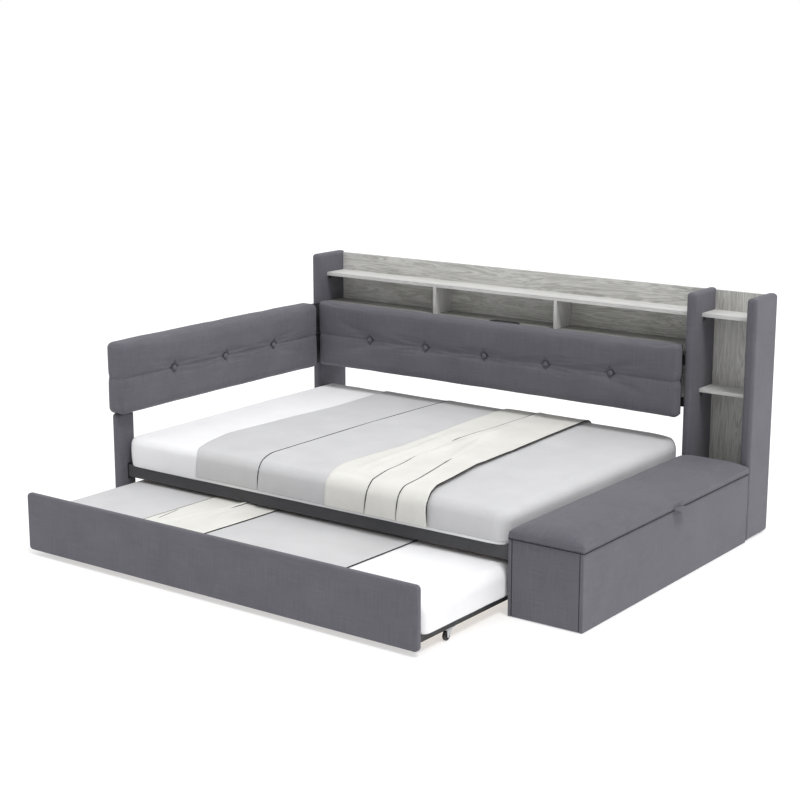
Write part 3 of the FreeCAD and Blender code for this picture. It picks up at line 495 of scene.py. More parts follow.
def tufted(name, node, long_axis, outward, buttons, radius, back_radius, seed):
    """A long pad with buttons and a sewn seam along its middle.

    It is worked out lying down, as (along, up, out), then turned into place.
    """
    low, high = (np.array(c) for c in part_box(node))
    depth_axis = 1 - long_axis
    length, thick, tall = high[long_axis] - low[long_axis], high[depth_axis] - low[depth_axis], high[2] - low[2]
    back = low[depth_axis] if outward > 0 else high[depth_axis]
    centres = np.array([c[long_axis] - low[long_axis] for c in buttons])
    seam = buttons[0][2] - low[2]
    hidden = radius - back_radius
    along = cuts(0, length, radius, 0.016, [(c, 0.052) for c in centres], 0.004)
    up = cuts(0, tall, radius, 0.013, [(seam, 0.048)], 0.004)
    out = cuts(-hidden, thick, radius, 0.012)
    points, faces, _ = box_grid(along, up, out)
    points, way = rounded(points, (0, 0, -hidden), (length, tall, thick), radius)
    points[:, 2] = np.maximum(points[:, 2], 0.0)
    front = np.clip(way[:, 2], 0, 1)
    # the seam pulls every side in a little, and the buttons pull the long edges
    du = np.min(np.abs(points[:, :1] - centres), axis=1)
    dw = points[:, 1] - seam
    half = np.where(dw > 0, tall - seam, seam)
    puff = 1 - np.abs(2 * np.abs(dw) / half - 1) ** 2.4
    ends = np.clip(np.minimum(points[:, 0], length - points[:, 0]) / PUFF_ENDS, 0, 1) ** 0.6
    points[:, 2] += front * (PUFF * puff * ends - PUFF_SINK)
    reach = np.hypot(du, dw * 0.85)
    points[:, 2] -= front * (WELL * np.exp(-((reach / WELL_REACH) ** 1.5)) + DISH * bell(reach, DISH_REACH))
    points[:, 1] -= way[:, 1] * EDGE_PULL * bell(du, EDGE_PULL_REACH)
    points[:, 0] -= way[:, 0] * END_PULL * bell(dw, END_PULL_REACH)

    held = (points[:, 2] < 0.0015) | ((np.abs(dw) < 0.003) & (front > 0.3)) | (reach < 0.013)
    pad = make(name, points, faces, linen, "bed_frame", "upholstery")
    swell(pad, held, PAD_SWELL, PAD_CAP)
    points = coordinates(pad.data)

    # after the simulation: the sewn groove, the pinched folds round each button, small unevenness
    dw = points[:, 1] - seam
    du = points[:, 0] - centres[np.argmin(np.abs(points[:, :1] - centres), axis=1)]
    groove = GROOVE * bell(dw, GROOVE_REACH)
    across = np.abs(du) / DIAMOND_LONG + np.abs(dw) / DIAMOND_TALL
    size = np.hypot(du, dw)
    folds = PINCH * bell((across - 1) * DIAMOND_LONG, PINCH_REACH)
    folds += COLLAR * ridge(size, COLLAR_AT, COLLAR_REACH)
    folds -= LIP * bell((across - LIP_AT) * DIAMOND_LONG, LIP_REACH) * (size < LIP_LIMIT)
    folds += TAIL * bell(du, TAIL_WIDE) * ridge(np.abs(dw), TAIL_AT, TAIL_LONG)
    folds += WING * bell(dw, WING_TALL) * bell(du, WING_LONG)
    points[:, 2] -= front * (groove + folds)
    points[:, 0] -= way[:, 0] * groove
    wander = ripple(points, 9.0, seed) * 0.0011 + ripple(points, 34.0, seed + 5) * 0.00045
    points += way * (wander * (points[:, 2] > 0.002))[:, None]
    points[:, 2] = np.maximum(points[:, 2], 0.0)

    placed = np.zeros_like(points)
    placed[:, long_axis] = points[:, 0] + low[long_axis]
    placed[:, 2] = points[:, 1] + low[2]
    placed[:, depth_axis] = back + outward * points[:, 2]
    set_coordinates(pad, placed)
    if (long_axis == 0) == (outward > 0):
        pad.data.flip_normals()
    subdivide(pad)
    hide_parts(node)


def button_centres(node, long_axis):
    """Where the separate buttons of a node are, from its mesh."""
    co = np.array([v.co for v in CAD[node].data.vertices], float)
    order = co[np.argsort(co[:, long_axis])]
    breaks = np.nonzero(np.diff(order[:, long_axis]) > 0.1)[0] + 1
    return [(part.min(0) + part.max(0)) / 2 for part in np.split(order, breaks)]


tufted("backrest_cushion", "backrest_pad", 0, -1, button_centres("backrest_buttons", 0), 0.019, 0.006, 1.0)
tufted("arm_cushion", "arm_pad", 1, 1, button_centres("arm_buttons", 1), 0.026, 0.024, 11.0)


# the lid cushion: its wrap past the board, edge turn, the line it has to stay under to swing clear of the bed
LID_WRAP, LID_TURN, LID_EDGE, LID_STEPS = 0.0014, 0.0065, 0.014, (0.011, 0.012, 0.01)
SWING_RISE, SWING_SLOPE = 0.0125, 0.287
LID_SWELL, LID_CAP = 1.2, 0.004


def seat_lid():
    """The lid cushion: wrapped down over its board, full on top, and low beside the hinges."""
    low, high = (np.array(c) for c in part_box("lid_pad"))
    hinge = next(j for j in frame["joints"] if j["name"] == "lid_hinge")["pos_m"]
    edge_top = low[2] + LID_EDGE
    crown = high[2] - edge_top - 0.0015
    low[2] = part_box("lid_board")[0].z + 0.0008
    low[0] += 0.0002
    low[1] -= LID_WRAP
    high[:2] += LID_WRAP
    points, faces, way = rounded_box(low, (high[0], high[1], edge_top), LID_TURN, LID_STEPS)
    u, v = ((points[:, :2] - (low[:2] + high[:2]) / 2) / ((high[:2] - low[:2]) / 2)).T
    full = crown * (1 - np.abs(u) ** 6) * (1 - np.abs(v) ** 34)
    swing = hinge[2] + SWING_RISE + SWING_SLOPE * (points[:, 0] - hinge[0]) - edge_top
    rise = np.minimum(full, np.maximum(swing, 0))
    points[:, 2] += np.clip((points[:, 2] - low[2]) / (edge_top - low[2]), 0, 1) ** 2 * rise
    pad = make("lid_cushion", points, faces, linen, "storage_lid", "upholstery")
    swell(pad, (way[:, 2] < 0.35) | (u < -0.55), LID_SWELL, LID_CAP)
    points = coordinates(pad.data)
    # puckers at the two front corners and along the front edge, then slow unevenness on top
    from_right = np.hypot((points[:, 0] - high[0]) / 0.16, (points[:, 1] - low[1]) / 0.12)
    from_left = np.hypot((points[:, 0] - low[0]) / 0.12, (points[:, 1] - low[1]) / 0.10)
    near = bell(from_right, 1.0) + bell(from_left, 1.0)
    puckers = np.sin(points[:, 0] * 260 + 3 * ripple(points, 14.0, 3.0)) * near * 0.0012
    front_edge = ridge(points[:, 1], low[1], 0.05)
    puckers += np.sin(points[:, 0] * 190 + 1.0 + 2 * ripple(points, 20.0, 8.0)) * front_edge * 0.0011
    wander = ripple(points, 8.0, 21.0) * 0.0016 + ripple(points, 26.0, 27.0) * 0.0007
    top = np.clip(way[:, 2], 0, 1)
    points[:, 2] += top * (puckers + wander) * np.clip((u + 1) / 0.5, 0, 1)
    points[:, 2] = np.minimum(points[:, 2], high[2] + 0.002)
    points[:, 0] = np.clip(points[:, 0], low[0], None)
    set_coordinates(pad, points)
    subdivide(pad)
    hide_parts("lid_pad")


seat_lid()


# ---- mattresses and bedding

MATTRESS_STEPS = (0.026, 0.026, 0.014)
WAVE, BELLY = 0.0022, 0.0035
END_REACH = 0.16
CORNER_TURN = (0.014, 0.010)
HEM_MARGIN = 0.003
ON_PLANE = 1e-9


def past(share, start):
    """0 up to the start, rising to 1 where the share is 1."""
    return np.clip((share - start) / (1 - start), 0, 1)


class Mattress:
    """A mattress and the shape that everything laid on it follows."""

    def __init__(self, node, body, radius, foot_radius, crown, hem, right_gap=0.0, end_fall=0.0, far_turn=0.0):
        self.low, self.high = (np.array(c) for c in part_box(node))
        self.high[0] -= right_gap
        self.base = self.low[2]
        self.low[2] -= radius - foot_radius
        self.tall, self.wide = self.high[2] - self.low[2], self.high[1] - self.low[1]
        self.body, self.radius, self.crown, self.hem = body, radius, crown, hem
        self.end_fall, self.far_turn = end_fall, far_turn
        self.middle = (self.low + self.high) / 2
        self.half = (self.high - self.low) / 2
        # the distances travelled at which a full-width cord starts and ends
        self.first = hem - self.low[2] + HEM_MARGIN
        self.last = 2 * self.tall + self.high[1] - self.low[1] - self.first

    def soften(self, points):
        """The crown and the soft sides, the same for the mattress and for what lies on it."""
        share = (points - self.middle) / self.half
        inside = np.clip(share, -1, 1)
        plan = (1 - np.abs(inside[:, 0]) ** 6) * (1 - np.abs(inside[:, 1]) ** 5)
        moved = points.copy()
        moved[:, 2] = np.maximum(moved[:, 2], self.base)
        height = np.clip((moved[:, 2] - self.base) / (self.high[2] - self.base), 0, 1)
        moved[:, 2] += height * (self.crown * plan + ripple(points, 2.2, 40.0) * WAVE)
        belly = np.sin(math.pi * height) * BELLY
        moved[:, 1] += inside[:, 1] ** 3 * belly
        moved[:, 0] += np.minimum(inside[:, 0] ** 3, 0) * belly
        end = np.clip((points[:, 0] - (self.high[0] - END_REACH)) / END_REACH, 0, 1) ** 2
        moved[:, 2] -= height * end * self.end_fall
        corner = past(np.abs(share[:, 0]), 0.92) * past(np.abs(share[:, 1]), 0.90)
        moved[:, :2] -= np.sign(share[:, :2]) * (corner ** 2)[:, None] * CORNER_TURN
        far_corner = past(share[:, 0], 0.84) * past(share[:, 1], 0.74)
        moved[:, :2] -= np.outer(far_corner ** 2 * self.far_turn, (1.0, 0.6))
        return moved

    def laid(self, points, lift, fold):
        """Points on the box moved to just above the mattress, with the cloth's own folds."""
        placed, way = rounded(points, self.low, self.high, self.radius, lift)
        return self.soften(placed) + way * np.reshape(fold, (-1, 1))

    def build(self, name, node, seed):
        points, faces, way = rounded_box(self.low, self.high, self.radius, MATTRESS_STEPS)
        placed = self.soften(points)
        rim = ridge(placed[:, 2], self.base + 0.014, 0.010) * (np.abs(way[:, 2]) < 0.6)
        placed += way * (ripple(placed, 11.0, seed) * 0.0012 + rim * ripple(placed, 6.0, seed + 9) * 0.003)[:, None]
        piece = make(name, placed, faces, ticking, self.body, "mattress_cloth")
        subdivide(piece)
        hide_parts(node)


main_bed = Mattress("mattress", "bed_frame", radius=0.036, foot_radius=0.012, crown=0.004, hem=0.2625,
                    right_gap=0.013, end_fall=0.008, far_turn=0.026)
main_bed.build("main_mattress", "mattress", 50.0)
pull_bed = Mattress("trundle_mattress", "trundle", radius=0.044, foot_radius=0.010, crown=0.002, hem=0.100)
pull_bed.build("pull_out_mattress", "trundle_mattress", 60.0)


LINE_STEP, LINE_OVERRUN, LINE_BLUR = 0.004, 0.3, 17


def drawn(points):
    """A smooth line x(t) through points (t, x), where t runs up the front drop, over the top and down the back."""
    t, x = np.array(sorted(points), float).T
    dense = np.arange(t[0] - LINE_OVERRUN, t[-1] + LINE_OVERRUN, LINE_STEP)
    values = np.interp(dense, t, x)
    kernel = np.exp(-np.linspace(-2, 2, LINE_BLUR) ** 2)
    values = np.convolve(np.pad(values, len(kernel) // 2, mode="edge"), kernel / kernel.sum(), "valid")
    return lambda at: np.interp(at, dense, values)


def on_top(bed, y):
    """The distance travelled at a distance back on the top."""
    return bed.tall + y - bed.low[1]


def travelled(bed, points):
    """How far along the drop, top and back each box-surface point is, from the low edge of the front drop."""
    y, z = points[:, 1], points[:, 2]
    beyond = np.where(y >= bed.high[1] - ON_PLANE, bed.tall + bed.wide + bed.high[2] - z, on_top(bed, y))
    return np.where(y <= bed.low[1] + ON_PLANE, z - bed.low[2], beyond)


def lines_on(bed, drops, tops):
    """A line across the bed through points (height, x) on the front drop and (y, x) on the top."""
    return drawn([(z - bed.low[2], x) for z, x in drops] + [(on_top(bed, y), x) for y, x in tops])


CLOTH_STEP_Y, CLOTH_STEP_Z, HEM_GAP = 0.016, 0.012, 0.002


def spread(bed, lines, places, sides):
    """Grid on the bed's box, its columns at places (line number, share of the way to the next line).

    Gives the points, the faces and how far each point has travelled.
    """
    ys = cuts(bed.low[1], bed.high[1], bed.radius, CLOTH_STEP_Y)
    zs = cuts(bed.low[2], bed.high[2], bed.radius, CLOTH_STEP_Z)
    zs = np.concatenate(([bed.hem], zs[zs > bed.hem + HEM_GAP]))
    points, faces, keys = box_grid(np.arange(len(places), dtype=float), ys, zs, sides)
    t = travelled(bed, points)
    where = np.array([line(t) for line in lines])
    number, share = np.array(places)[keys[:, 0]].T
    number, rows = number.astype(int), np.arange(len(keys))
    left, right = where[number, rows], where[number + 1, rows]
    points[:, 0] = left + (right - left) * share
    return points, faces, t


STEP_WIDTH = 0.004


def step_at(x, line):
    return 1 / (1 + np.exp(-(x - line) / STEP_WIDTH * 2))


def fade(t, start, end, soft=0.05):
    """1 between the start and the end, falling to 0 outside them."""
    return 1 / (1 + np.exp(-(t - start) / soft * 4)) / (1 + np.exp((t - end) / soft * 4))


def crease(x, line, rise, dip, roll, roll_at, roll_width):
    """A line with a dark cord of painted shade on it: the cloth dips at it, is higher on its right, and rolls over a
    little further on.
    """
    return rise * step_at(x, line + 0.003) - dip * ridge(x, line, 0.0035) + roll * ridge(x, line + roll_at, roll_width)


def rolls(bed, x, t, lines, table):
    """Loose rolls of cloth that drift sideways on the way back and die out at both ends."""
    fold = 0.0
    for number, height, width, offset, drift, drift_from, first, last, soft in table:
        centre = lines[number] + offset + drift * (t - on_top(bed, drift_from))
        fold = fold + height * ridge(x, centre, width) * fade(t, on_top(bed, first), on_top(bed, last), soft)
    return fold


def cloth(name, bed, points, faces, lift, fold, thickness, material, slot):
    """Cloth laid on a bed with its own folds."""
    piece = make(name, bed.laid(points, lift, fold), faces, material, bed.body, slot)
    thicken(piece, thickness)
    subdivide(piece)
    return piece


SHADOW_LINE_STEP, SHADOW_LINE_TAPER, SHADOW_LINE_TIP, SHADOW_LINE_GUIDE = 0.011, 5.0, 0.15, (0.0, 0.45, 1.0)


def shadow_line(name, bed, line, start, end, lift, fold_at, radius=0.0022):
    """A thin dark cord laid along a line of the bedding from one distance travelled to another, standing in for the
    shadow line at a fold or layer edge: painted shade.
    """
    t = np.arange(start, end, SHADOW_LINE_STEP)
    x = line(t)
    y = np.where(t < bed.tall, bed.low[1], np.minimum(bed.low[1] + t - bed.tall, bed.high[1]))
    down_back = bed.high[2] - (t - bed.tall - bed.wide)
    z = np.where(t < bed.tall, bed.low[2] + t, np.where(t > bed.tall + bed.wide, down_back, bed.high[2]))
    spine = bed.laid(np.column_stack((x, y, z)), lift, fold_at(x, t))
    from_end = np.minimum(np.arange(len(t)), np.arange(len(t))[::-1])
    taper = np.clip(from_end / SHADOW_LINE_TAPER, SHADOW_LINE_TIP, 1)
    return cord(name, spine, taper * radius, SHADOW_LINE_GUIDE, bed.body, "cover_cloth")


# Lines across the main bed in the object's frame, from where the bedding's edges and folds lie: the cover's
# edge and the line of its dark cord, the throw's left edge, the lines of its two inner dark cords and its right edge.
# The dark cords stand in for thin shadow lines at the folds and layer edges: painted shade.
COVER_EDGE = lines_on(
    main_bed, [(0.262, -0.690), (0.350, -0.678)],
    [(-0.440, -0.700), (-0.361, -0.730), (-0.202, -0.766), (-0.001, -0.752), (0.228, -0.738), (0.465, -0.721),
     (0.843, -0.731)])
COVER_LINE = lines_on(
    main_bed, [(0.262, -0.358), (0.350, -0.346)],
    [(-0.450, -0.352), (-0.417, -0.370), (-0.347, -0.396), (0.10, -0.392), (0.506, -0.385), (0.866, -0.373)])
THROW_LEFT = lines_on(
    main_bed, [(0.262, -0.012), (0.350, -0.006)],
    [(-0.455, -0.002), (-0.40, -0.030), (-0.313, -0.052), (0.02, -0.026), (0.40, -0.045), (0.889, -0.068)])
THROW_SECOND = lines_on(
    main_bed, [(0.262, 0.180), (0.350, 0.196)],
    [(-0.455, 0.196), (-0.437, 0.186), (-0.311, 0.156), (-0.222, 0.150), (0.0, 0.118), (0.251, 0.093),
     (0.392, 0.098), (0.474, 0.108), (0.738, 0.112), (0.890, 0.100)])
THROW_THIRD = lines_on(
    main_bed, [(0.262, 0.330), (0.350, 0.342)],
    [(-0.455, 0.344), (-0.437, 0.342), (-0.34, 0.330), (-0.165, 0.293), (-0.03, 0.262), (0.30, 0.215), (0.89, 0.19)])
THROW_RIGHT = lines_on(
    main_bed, [(0.262, 0.476), (0.350, 0.475)],
    [(-0.470, 0.476), (-0.430, 0.462), (-0.393, 0.447), (-0.277, 0.434), (-0.052, 0.399), (0.276, 0.386),
     (0.60, 0.371), (0.890, 0.353)])
THROW_LINES = (THROW_LEFT, THROW_SECOND, THROW_THIRD, THROW_RIGHT)
MAIN_END = drawn([(0.0, main_bed.high[0]), (2.0, main_bed.high[0])])

# line number, height, width, offset from the line, drift per metre and where it starts, first and last y, softness
THROW_ROLLS = (
    (0, 0.0115, 0.020, 0.115, -0.06, -0.46, -0.34, 0.30, 0.14),
    (0, 0.0065, 0.014, 0.170, -0.11, -0.46, -0.34, 0.30, 0.14),
    (1, 0.0095, 0.017, 0.040, 0.11, 0.15, -0.12, 0.42, 0.12),
    (2, 0.0070, 0.018, -0.035, -0.08, 0.30, 0.02, 0.55, 0.12),
)
THROW_CREASE = {"dip": 0.0034, "roll": 0.0022, "roll_at": 0.014, "roll_width": 0.011}
NEVER = 9.0


def cover_fold(x, t):
    return crease(x, COVER_LINE(t), 0.0024, 0.0026, 0.0014, 0.012, 0.010)


def throw_fold(x, t):
    lines = [line(t) for line in THROW_LINES]
    left, second, third, right = lines
    on_second = 1 - 0.85 * fade(t, on_top(main_bed, -0.02), on_top(main_bed, 0.24))
    on_third = 1 - fade(t, on_top(main_bed, 0.20), NEVER)
    fold = 0.0022 * step_at(x, left + 0.006)
    fold += on_second * crease(x, second, 0.0030, **THROW_CREASE)
    fold += on_third * crease(x, third, 0.0026, **THROW_CREASE)
    fold += 0.0020 * ridge(x, right - 0.012, 0.012)
    fold += rolls(main_bed, x, t, lines, THROW_ROLLS)
    flat = fade(t, on_top(main_bed, -0.41), on_top(main_bed, 0.78), 0.12)
    return fold + 0.0030 * flat * ridge(x, (third + right) / 2 + 0.03, 0.045)


def bed_cover():
    places = [(0, s) for s in (*np.linspace(0, 0.95, 24), 0.975, 0.988)]
    places += [(1, s) for s in (0.0, 0.004, 0.008, 0.014, 0.022, *np.linspace(0.03, 1.0, 62))]
    points, faces, t = spread(main_bed, [COVER_EDGE, COVER_LINE, MAIN_END], places, "y0 y1 z1 x1")
    x, y, z = points.T
    end = main_bed.high[0]
    wave = ripple(points, 5.0, 70.0)
    fold = cover_fold(x, t) + 0.0012 * wave
    # the pleat where the cloth turns the front right corner, and soft creases along the right end
    fold += 0.004 * ridge(x, end - 0.030, 0.012) * (y < main_bed.low[1] + 0.02) * (t < main_bed.tall)
    near_end = np.clip((x - (end - 0.14)) / 0.14, 0, 1)
    fold += 0.0022 * near_end * np.sin(y * 34 + 3 * wave) * (z > main_bed.high[2] - 1e-6)
    fold = np.minimum(fold, np.where(x > end - 0.02, 0.0015, 1.0))
    piece = cloth("bed_cover_cloth", main_bed, points, faces, 0.0022, fold, 0.002, cotton, "cover_cloth")
    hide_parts("bed_cover")
    return piece


def bed_throw():
    shares = (0.0, 0.012, 0.024, 0.04, 0.06, *np.linspace(0.09, 0.92, 15), 0.95, 0.975, 0.988)
    places = [(number, s) for number in range(3) for s in shares] + [(2, 1.0)]
    points, faces, t = spread(main_bed, THROW_LINES, places, "y0 y1 z1")
    fold = throw_fold(points[:, 0], t) + 0.0008 * ripple(points, 8.0, 90.0)
    piece = cloth("bed_throw_cloth", main_bed, points, faces, 0.0085, fold, 0.0022, cream, "throw_cloth")
    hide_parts("bed_throw")
    return piece


cover = bed_cover()
# near-black cords along the fold lines and the throw's right edge: painted shadow lines
cover_shadow_line = shadow_line("cover_shadow_line", main_bed, COVER_LINE, main_bed.first, main_bed.last, 0.0062, cover_fold, 0.0026)
throw = bed_throw()
throw_shadow_lines = [
    shadow_line(f"throw_shadow_line_{part}", main_bed, line, start, end, lift, throw_fold, radius)
    for part, line, start, end, lift, radius in (
        ("front", THROW_SECOND, main_bed.first, on_top(main_bed, 0.02), 0.0128, 0.0027),
        ("rear", THROW_SECOND, on_top(main_bed, 0.21), main_bed.last, 0.0128, 0.0027),
        ("short", THROW_THIRD, main_bed.first, on_top(main_bed, -0.02), 0.0128, 0.0027),
        ("edge", THROW_RIGHT, main_bed.first, main_bed.last, 0.0105, 0.0021),
    )
]


# ---- the pull-out bed's bedding

PULL_MARGIN = pull_bed.low[0] + 0.030
PULL_LEFT = lines_on(pull_bed, [(0.10, PULL_MARGIN)], [(-0.9, PULL_MARGIN), (-0.1, PULL_MARGIN)])
PULL_RIGHT = lines_on(pull_bed, [(0.10, 0.372)], [(-0.99, 0.372), (-0.60, 0.380), (-0.02, 0.392)])
PULL_THROW_LEFT = lines_on(
    pull_bed, [(0.10, -0.640)], [(-0.99, -0.640), (-0.83, -0.624), (-0.557, -0.616), (-0.02, -0.60)])
PULL_THROW_RIGHT = lines_on(
    pull_bed, [(0.10, -0.315)], [(-0.99, -0.312), (-0.7, -0.296), (-0.45, -0.286), (-0.02, -0.27)])
# two short runs where dark strokes stand in for the shadows between the throw's folds: painted shade
PULL_SHADOW_STROKE_LEFT = lines_on(pull_bed, [(0.10, -0.575)], [(-0.865, -0.580), (-0.605, -0.616), (-0.02, -0.65)])
PULL_SHADOW_STROKE_RIGHT = lines_on(pull_bed, [(0.10, -0.45)], [(-0.547, -0.442), (-0.429, -0.425), (-0.02, -0.36)])
PULL_ROLLS = (
    (0, 0.0065, 0.013, 0.045, 0.24, -0.99, -0.97, -0.37, 0.08),
    (0, 0.0055, 0.017, 0.115, 0.12, -0.99, -0.74, -0.29, 0.08),
    (0, 0.0045, 0.013, 0.185, 0.05, -0.99, -0.65, -0.33, 0.06),
)


def pull_cover_fold(x, t):
    return 0.0012 * ridge(x, PULL_RIGHT(t) - 0.012, 0.01)


def pull_throw_fold(x, t):
    return (rolls(pull_bed, x, t, [PULL_THROW_LEFT(t)], PULL_ROLLS)
            + 0.0018 * ridge(x, PULL_THROW_RIGHT(t) - 0.012, 0.012))


def pull_cover():
    places = [(0, s) for s in (*np.linspace(0, 0.985, 60), 0.993, 1.0)]
    points, faces, t = spread(pull_bed, [PULL_LEFT, PULL_RIGHT], places, "y0 y1 z1")
    fold = pull_cover_fold(points[:, 0], t) + 0.0010 * ripple(points, 6.0, 110.0)
    piece = cloth("pull_out_cover_cloth", pull_bed, points, faces, 0.0015, fold, 0.0016, cotton, "cover_cloth")
    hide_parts("trundle_cover")
    return piece


def pull_throw():
    places = [(0, s) for s in (*np.linspace(0, 0.97, 46), 0.98, 0.99, 1.0)]
    points, faces, t = spread(pull_bed, [PULL_THROW_LEFT, PULL_THROW_RIGHT], places, "y0 y1 z1")
    fold = pull_throw_fold(points[:, 0], t) + 0.0006 * ripple(points, 9.0, 130.0)
    return cloth("pull_out_throw_cloth", pull_bed, points, faces, 0.0045, fold, 0.0018, cream, "throw_cloth")


pull_cloth = pull_cover()
pull_cream = pull_throw()
# near-black cords on the pull-out bedding: painted shadow lines along its edges, and short painted shadow strokes
# between the throw's folds
pull_shadow_lines = [
    shadow_line(f"pull_out_{part}", pull_bed, line, start, end, lift, fold_at, radius)
    for part, line, start, end, lift, fold_at, radius in (
        ("shadow_line_right", PULL_RIGHT, pull_bed.first, pull_bed.last, 0.0030, pull_cover_fold, 0.0022),
        ("shadow_line_left", PULL_THROW_LEFT, pull_bed.first, pull_bed.last, 0.0048, pull_throw_fold, 0.0022),
        ("shadow_stroke_left", PULL_SHADOW_STROKE_LEFT, on_top(pull_bed, -0.84), on_top(pull_bed, -0.62), 0.0052,
         pull_throw_fold, 0.0022),
        ("shadow_stroke_right", PULL_SHADOW_STROKE_RIGHT, on_top(pull_bed, -0.57), on_top(pull_bed, -0.38), 0.0052,
         pull_throw_fold, 0.0028),
        ("shadow_line_middle", PULL_THROW_RIGHT, pull_bed.first, pull_bed.last, 0.0048, pull_throw_fold, 0.0022),
    )
]


# ---- small pieces

TAB_REACH, TAB_DROOP, TAB_HALF_THICK = 0.036, 0.005, 0.0021


def pull_tab():
    """A folded strap sewn under the lid's edge: it stands out from the seam and droops a little."""
    low, high = (np.array(c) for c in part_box("lid_pull_tab"))
    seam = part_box("lid_board")[0].z + 0.0045
    run = np.concatenate((np.linspace(0, 0.9, 14), 0.9 + 0.1 * np.sin(np.linspace(0.15, 1, 6) * math.pi / 2)))
    loop = [(s, 1.0) for s in run] + [(s, -1.0) for s in run[::-1][1:]]
    ribs = np.linspace(-1, 1, 19)
    points = []
    for rib in ribs:
        for share, side in loop:
            thick = TAB_HALF_THICK * max(0.0, 1 - max(0.0, (share - 0.86) / 0.14) ** 2) ** 0.5 + 0.0002
            soft = 1 - 0.6 * abs(rib) ** 8
            curl = 0.0016 * math.cos(rib * 2.4) * share
            points.append((
                low[0] - 0.002 + TAB_REACH * share * (1 - 0.06 * rib * rib),
                (low[1] + high[1]) / 2 + rib * (high[1] - low[1]) * 0.5 * (1 - 0.10 * share),
                seam - TAB_DROOP * share ** 1.6 + curl + side * thick * soft,
            ))
    piece = make("lid_tab", points, tube_faces(len(ribs), len(loop)), linen, "storage_lid", "upholstery")
    subdivide(piece)
    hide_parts("lid_pull_tab")


pull_tab()

LEVEL_GUIDE, UPRIGHT_GUIDE = (0.31, 0.29, 0.90), (0.7, 0.7, 0.1)
LID_SHADOW_CORD, BOX_SHADOW_CORD = 0.0016, 0.0019


def box_shadow_cords():
    """Dark cord in the seams of the storage box, under the lid's edge and where its front meets its sides, standing in
    for the shadow lines there: painted shade.
    """
    low, high = (np.array(c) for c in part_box("lid_board"))
    proud, turn = 0.0024, 0.010
    z = low[2] - 0.0004
    corner = [(high[0] + proud - turn + turn * math.sin(a), low[1] - proud + turn - turn * math.cos(a), z)
              for a in np.linspace(0, math.pi / 2, 9)]
    front = [(x, low[1] - proud, z) for x in np.linspace(low[0] + 0.002, high[0] + proud - turn, 20)[:-1]]
    right = [(high[0] + proud, y, z) for y in np.linspace(low[1] - proud + turn, high[1] - 0.002, 80)[1:]]
    run = front + corner + right
    cord("lid_seam_shadow_cord", run, [LID_SHADOW_CORD] * len(run), LEVEL_GUIDE, "storage_lid", "upholstery")
    panel_low, panel_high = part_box("box_front_panel")
    heights = np.linspace(panel_low.z + 0.002, panel_high.z - 0.002, 24)
    for name, x in (("box_shadow_cord_left", panel_low.x), ("box_shadow_cord_right", panel_high.x)):
        spine = [(x, panel_low.y + 0.0012, height) for height in heights]
        cord(name, spine, [BOX_SHADOW_CORD] * len(spine), UPRIGHT_GUIDE, "bed_frame", "box_board")


box_shadow_cords()


def stadium(long, wide, radius, count=12):
    """Outline of a rectangle with rounded ends, about the origin, anticlockwise."""
    outline = []
    for cx, cy, start in ((1, 1, 0), (-1, 1, 90), (-1, -1, 180), (1, -1, 270)):
        for step in range(count + 1):
            angle = math.radians(start + 90 * step / count)
            outline.append((cx * (long / 2 - radius) + radius * math.cos(angle),
                            cy * (wide / 2 - radius) + radius * math.sin(angle)))
    return outline


def lofted(name, centre, sections, material, body, slot):
    """A closed solid lofted through stadium sections (long, wide, radius, height)."""
    points = [(centre[0] + x, centre[1] + y, height)
              for long, wide, radius, height in sections for x, y in stadium(long, wide, radius)]
    piece = make(name, points, tube_faces(len(sections), len(points) // len(sections)), material, body, slot)
    piece.data.polygons[-1].use_smooth = piece.data.polygons[-2].use_smooth = False
    return piece


HUB_BODY_MARGIN = (0.016, 0.012)
WELL_COUNT, WELL_MARGIN = 3, 0.030
WELL_SECTIONS = ((0.0240, 0.0030), (0.0240, 0.0008), (0.0225, 0.0004), (0.0205, 0.0008), (0.0195, 0.0026))
WELL_FLAT = 0.0001


def power_hub():
    """The flush hub in the middle compartment's floor: a rim, a sunk body and a row of round wells."""
    low, high = (np.array(c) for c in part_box("hub_case"))
    centre = (low + high) / 2
    long, wide = high[0] - low[0], high[1] - low[1]
    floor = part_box("cubby_floor")[1].z
    body_long, body_wide = long - HUB_BODY_MARGIN[0], wide - HUB_BODY_MARGIN[1]
    top = high[2]
    body = [(body_long, body_wide, body_wide / 2 - 0.001, level) for level in (low[2], floor - 0.0005)]
    rim = [(long - inset, wide - inset, wide / 2 - turn, level) for inset, turn, level in (
        (0.002, 0.002, floor + 0.0004), (0, 0.001, floor + 0.0018), (0, 0.001, top - 0.0028),
        (0.002, 0.002, top - 0.0009), (0.007, 0.0045, top), (0.012, 0.007, top - 0.0002),
        (0.016, 0.009, top - 0.0016),
    )]
    case = lofted("hub_body", centre, body + rim, black_plastic, "bed_frame", "black_plastic")
    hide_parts("hub_case", "hub_sockets")
    for number, spot in enumerate(np.linspace(-1, 1, WELL_COUNT) * (long / 2 - WELL_MARGIN)):
        rings = [(across, across, across / 2 - WELL_FLAT, top - sunk) for across, sunk in WELL_SECTIONS]
        lofted(f"hub_well_{number + 1}", (centre[0] + spot, centre[1]), rings,
               wheel_nylon, "bed_frame", "black_plastic")


power_hub()


# ---- floor, light, camera

FLOOR_GLOW = 0.50
FRONT_SKY, TOP_SKY = 0.50, 0.88
KEY_STRENGTH, KEY_SOFTNESS, KEY_FROM, KEY_DISTANCE = 0.46, 16.0, (0.42, -0.20, 0.88), 6
FLOOR_HALF, FLOOR_DROP = 60.0, 0.0005
CAMERA_AT, CAMERA_TILT, CAMERA_TURN = (3.87395, -5.25651, 2.05549), 77.492, 36.526
LENS, SHIFT = 75.19, (0.0020, -0.00525)


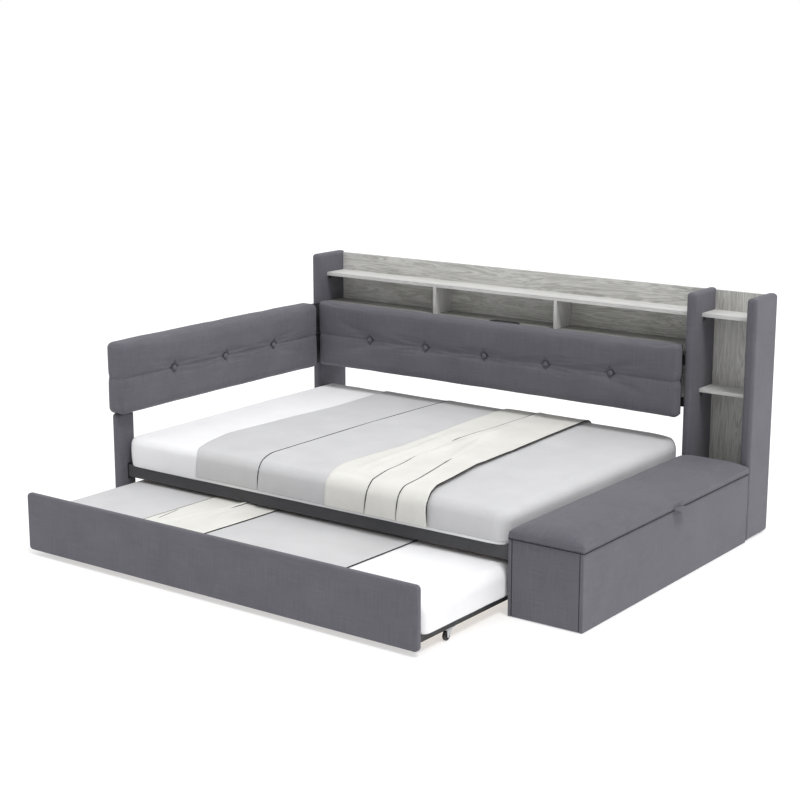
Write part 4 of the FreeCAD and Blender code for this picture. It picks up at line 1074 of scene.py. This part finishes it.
def floor_and_light():
    low, high = CAD_BOX
    mesh = bpy.data.meshes.new("floor")
    corners = [(x * FLOOR_HALF, y * FLOOR_HALF, 0) for x, y in ((-1, -1), (1, -1), (1, 1), (-1, 1))]
    mesh.from_pydata(corners, [], [(0, 1, 2, 3)])
    floor = bpy.data.objects.new("floor", mesh)
    bpy.context.scene.collection.objects.link(floor)
    floor.location = (0, 0, -FLOOR_DROP)
    g = Graph("studio_floor", Specular_IOR_Level=0.1)
    g.shader.inputs["Emission Color"].default_value = (1, 1, 1, 1)
    g.shader.inputs["Emission Strength"].default_value = FLOOR_GLOW
    grain = g.noise(g.place, 60.0, 3.0, 0.6)
    colour = g.mix(grain, (0.54, 0.54, 0.54), (0.57, 0.57, 0.57))
    mesh.materials.append(g.finish(colour, g.span(grain, 0.3, 0.7, 0.9, 0.8), grain, 0.0002))

    # white behind the object, softer from the camera's side, bright overhead
    world = bpy.data.worlds.new("studio")
    bpy.context.scene.world = world
    world.use_nodes = True
    tree = world.node_tree
    toward = tree.nodes.new("ShaderNodeSeparateXYZ")
    tree.links.new(tree.nodes.new("ShaderNodeTexCoord").outputs["Generated"], toward.inputs[0])

    def shade(source, low_at, low, high_at, high):
        made = tree.nodes.new("ShaderNodeMapRange")
        made.interpolation_type = "SMOOTHSTEP"
        tree.links.new(source, made.inputs[0])
        for socket, number in zip(list(made.inputs)[1:5], (low_at, high_at, low, high)):
            socket.default_value = number
        return made.outputs[0]

    brighter = tree.nodes.new("ShaderNodeMath")
    brighter.operation = "MAXIMUM"
    tree.links.new(shade(toward.outputs[1], -0.45, FRONT_SKY, 0.25, 1.0), brighter.inputs[0])
    tree.links.new(shade(toward.outputs[2], 0.15, 0.0, 0.75, TOP_SKY), brighter.inputs[1])
    tree.nodes["Background"].inputs["Color"].default_value = (1.0, 1.0, 1.0, 1.0)
    tree.links.new(brighter.outputs[0], tree.nodes["Background"].inputs["Strength"])

    light = bpy.data.lights.new("key", "SUN")
    light.energy, light.angle = KEY_STRENGTH * math.pi, math.radians(KEY_SOFTNESS)
    key = bpy.data.objects.new("key", light)
    bpy.context.scene.collection.objects.link(key)
    key.location = (low + high) / 2 + Vector(KEY_FROM) * KEY_DISTANCE
    key.rotation_euler = (-Vector(KEY_FROM)).to_track_quat("-Z", "Y").to_euler()


def camera():
    data = bpy.data.cameras.new("camera")
    data.lens = LENS
    data.sensor_width = 36.0
    data.shift_x, data.shift_y = SHIFT
    data.clip_start, data.clip_end = 0.1, 200.0
    eye = bpy.data.objects.new("camera", data)
    bpy.context.scene.collection.objects.link(eye)
    eye.location = CAMERA_AT
    eye.rotation_euler = (math.radians(CAMERA_TILT), 0.0, math.radians(CAMERA_TURN))
    bpy.context.scene.camera = eye


floor_and_light()
camera()
bpy.context.scene.view_settings.view_transform = "Standard"
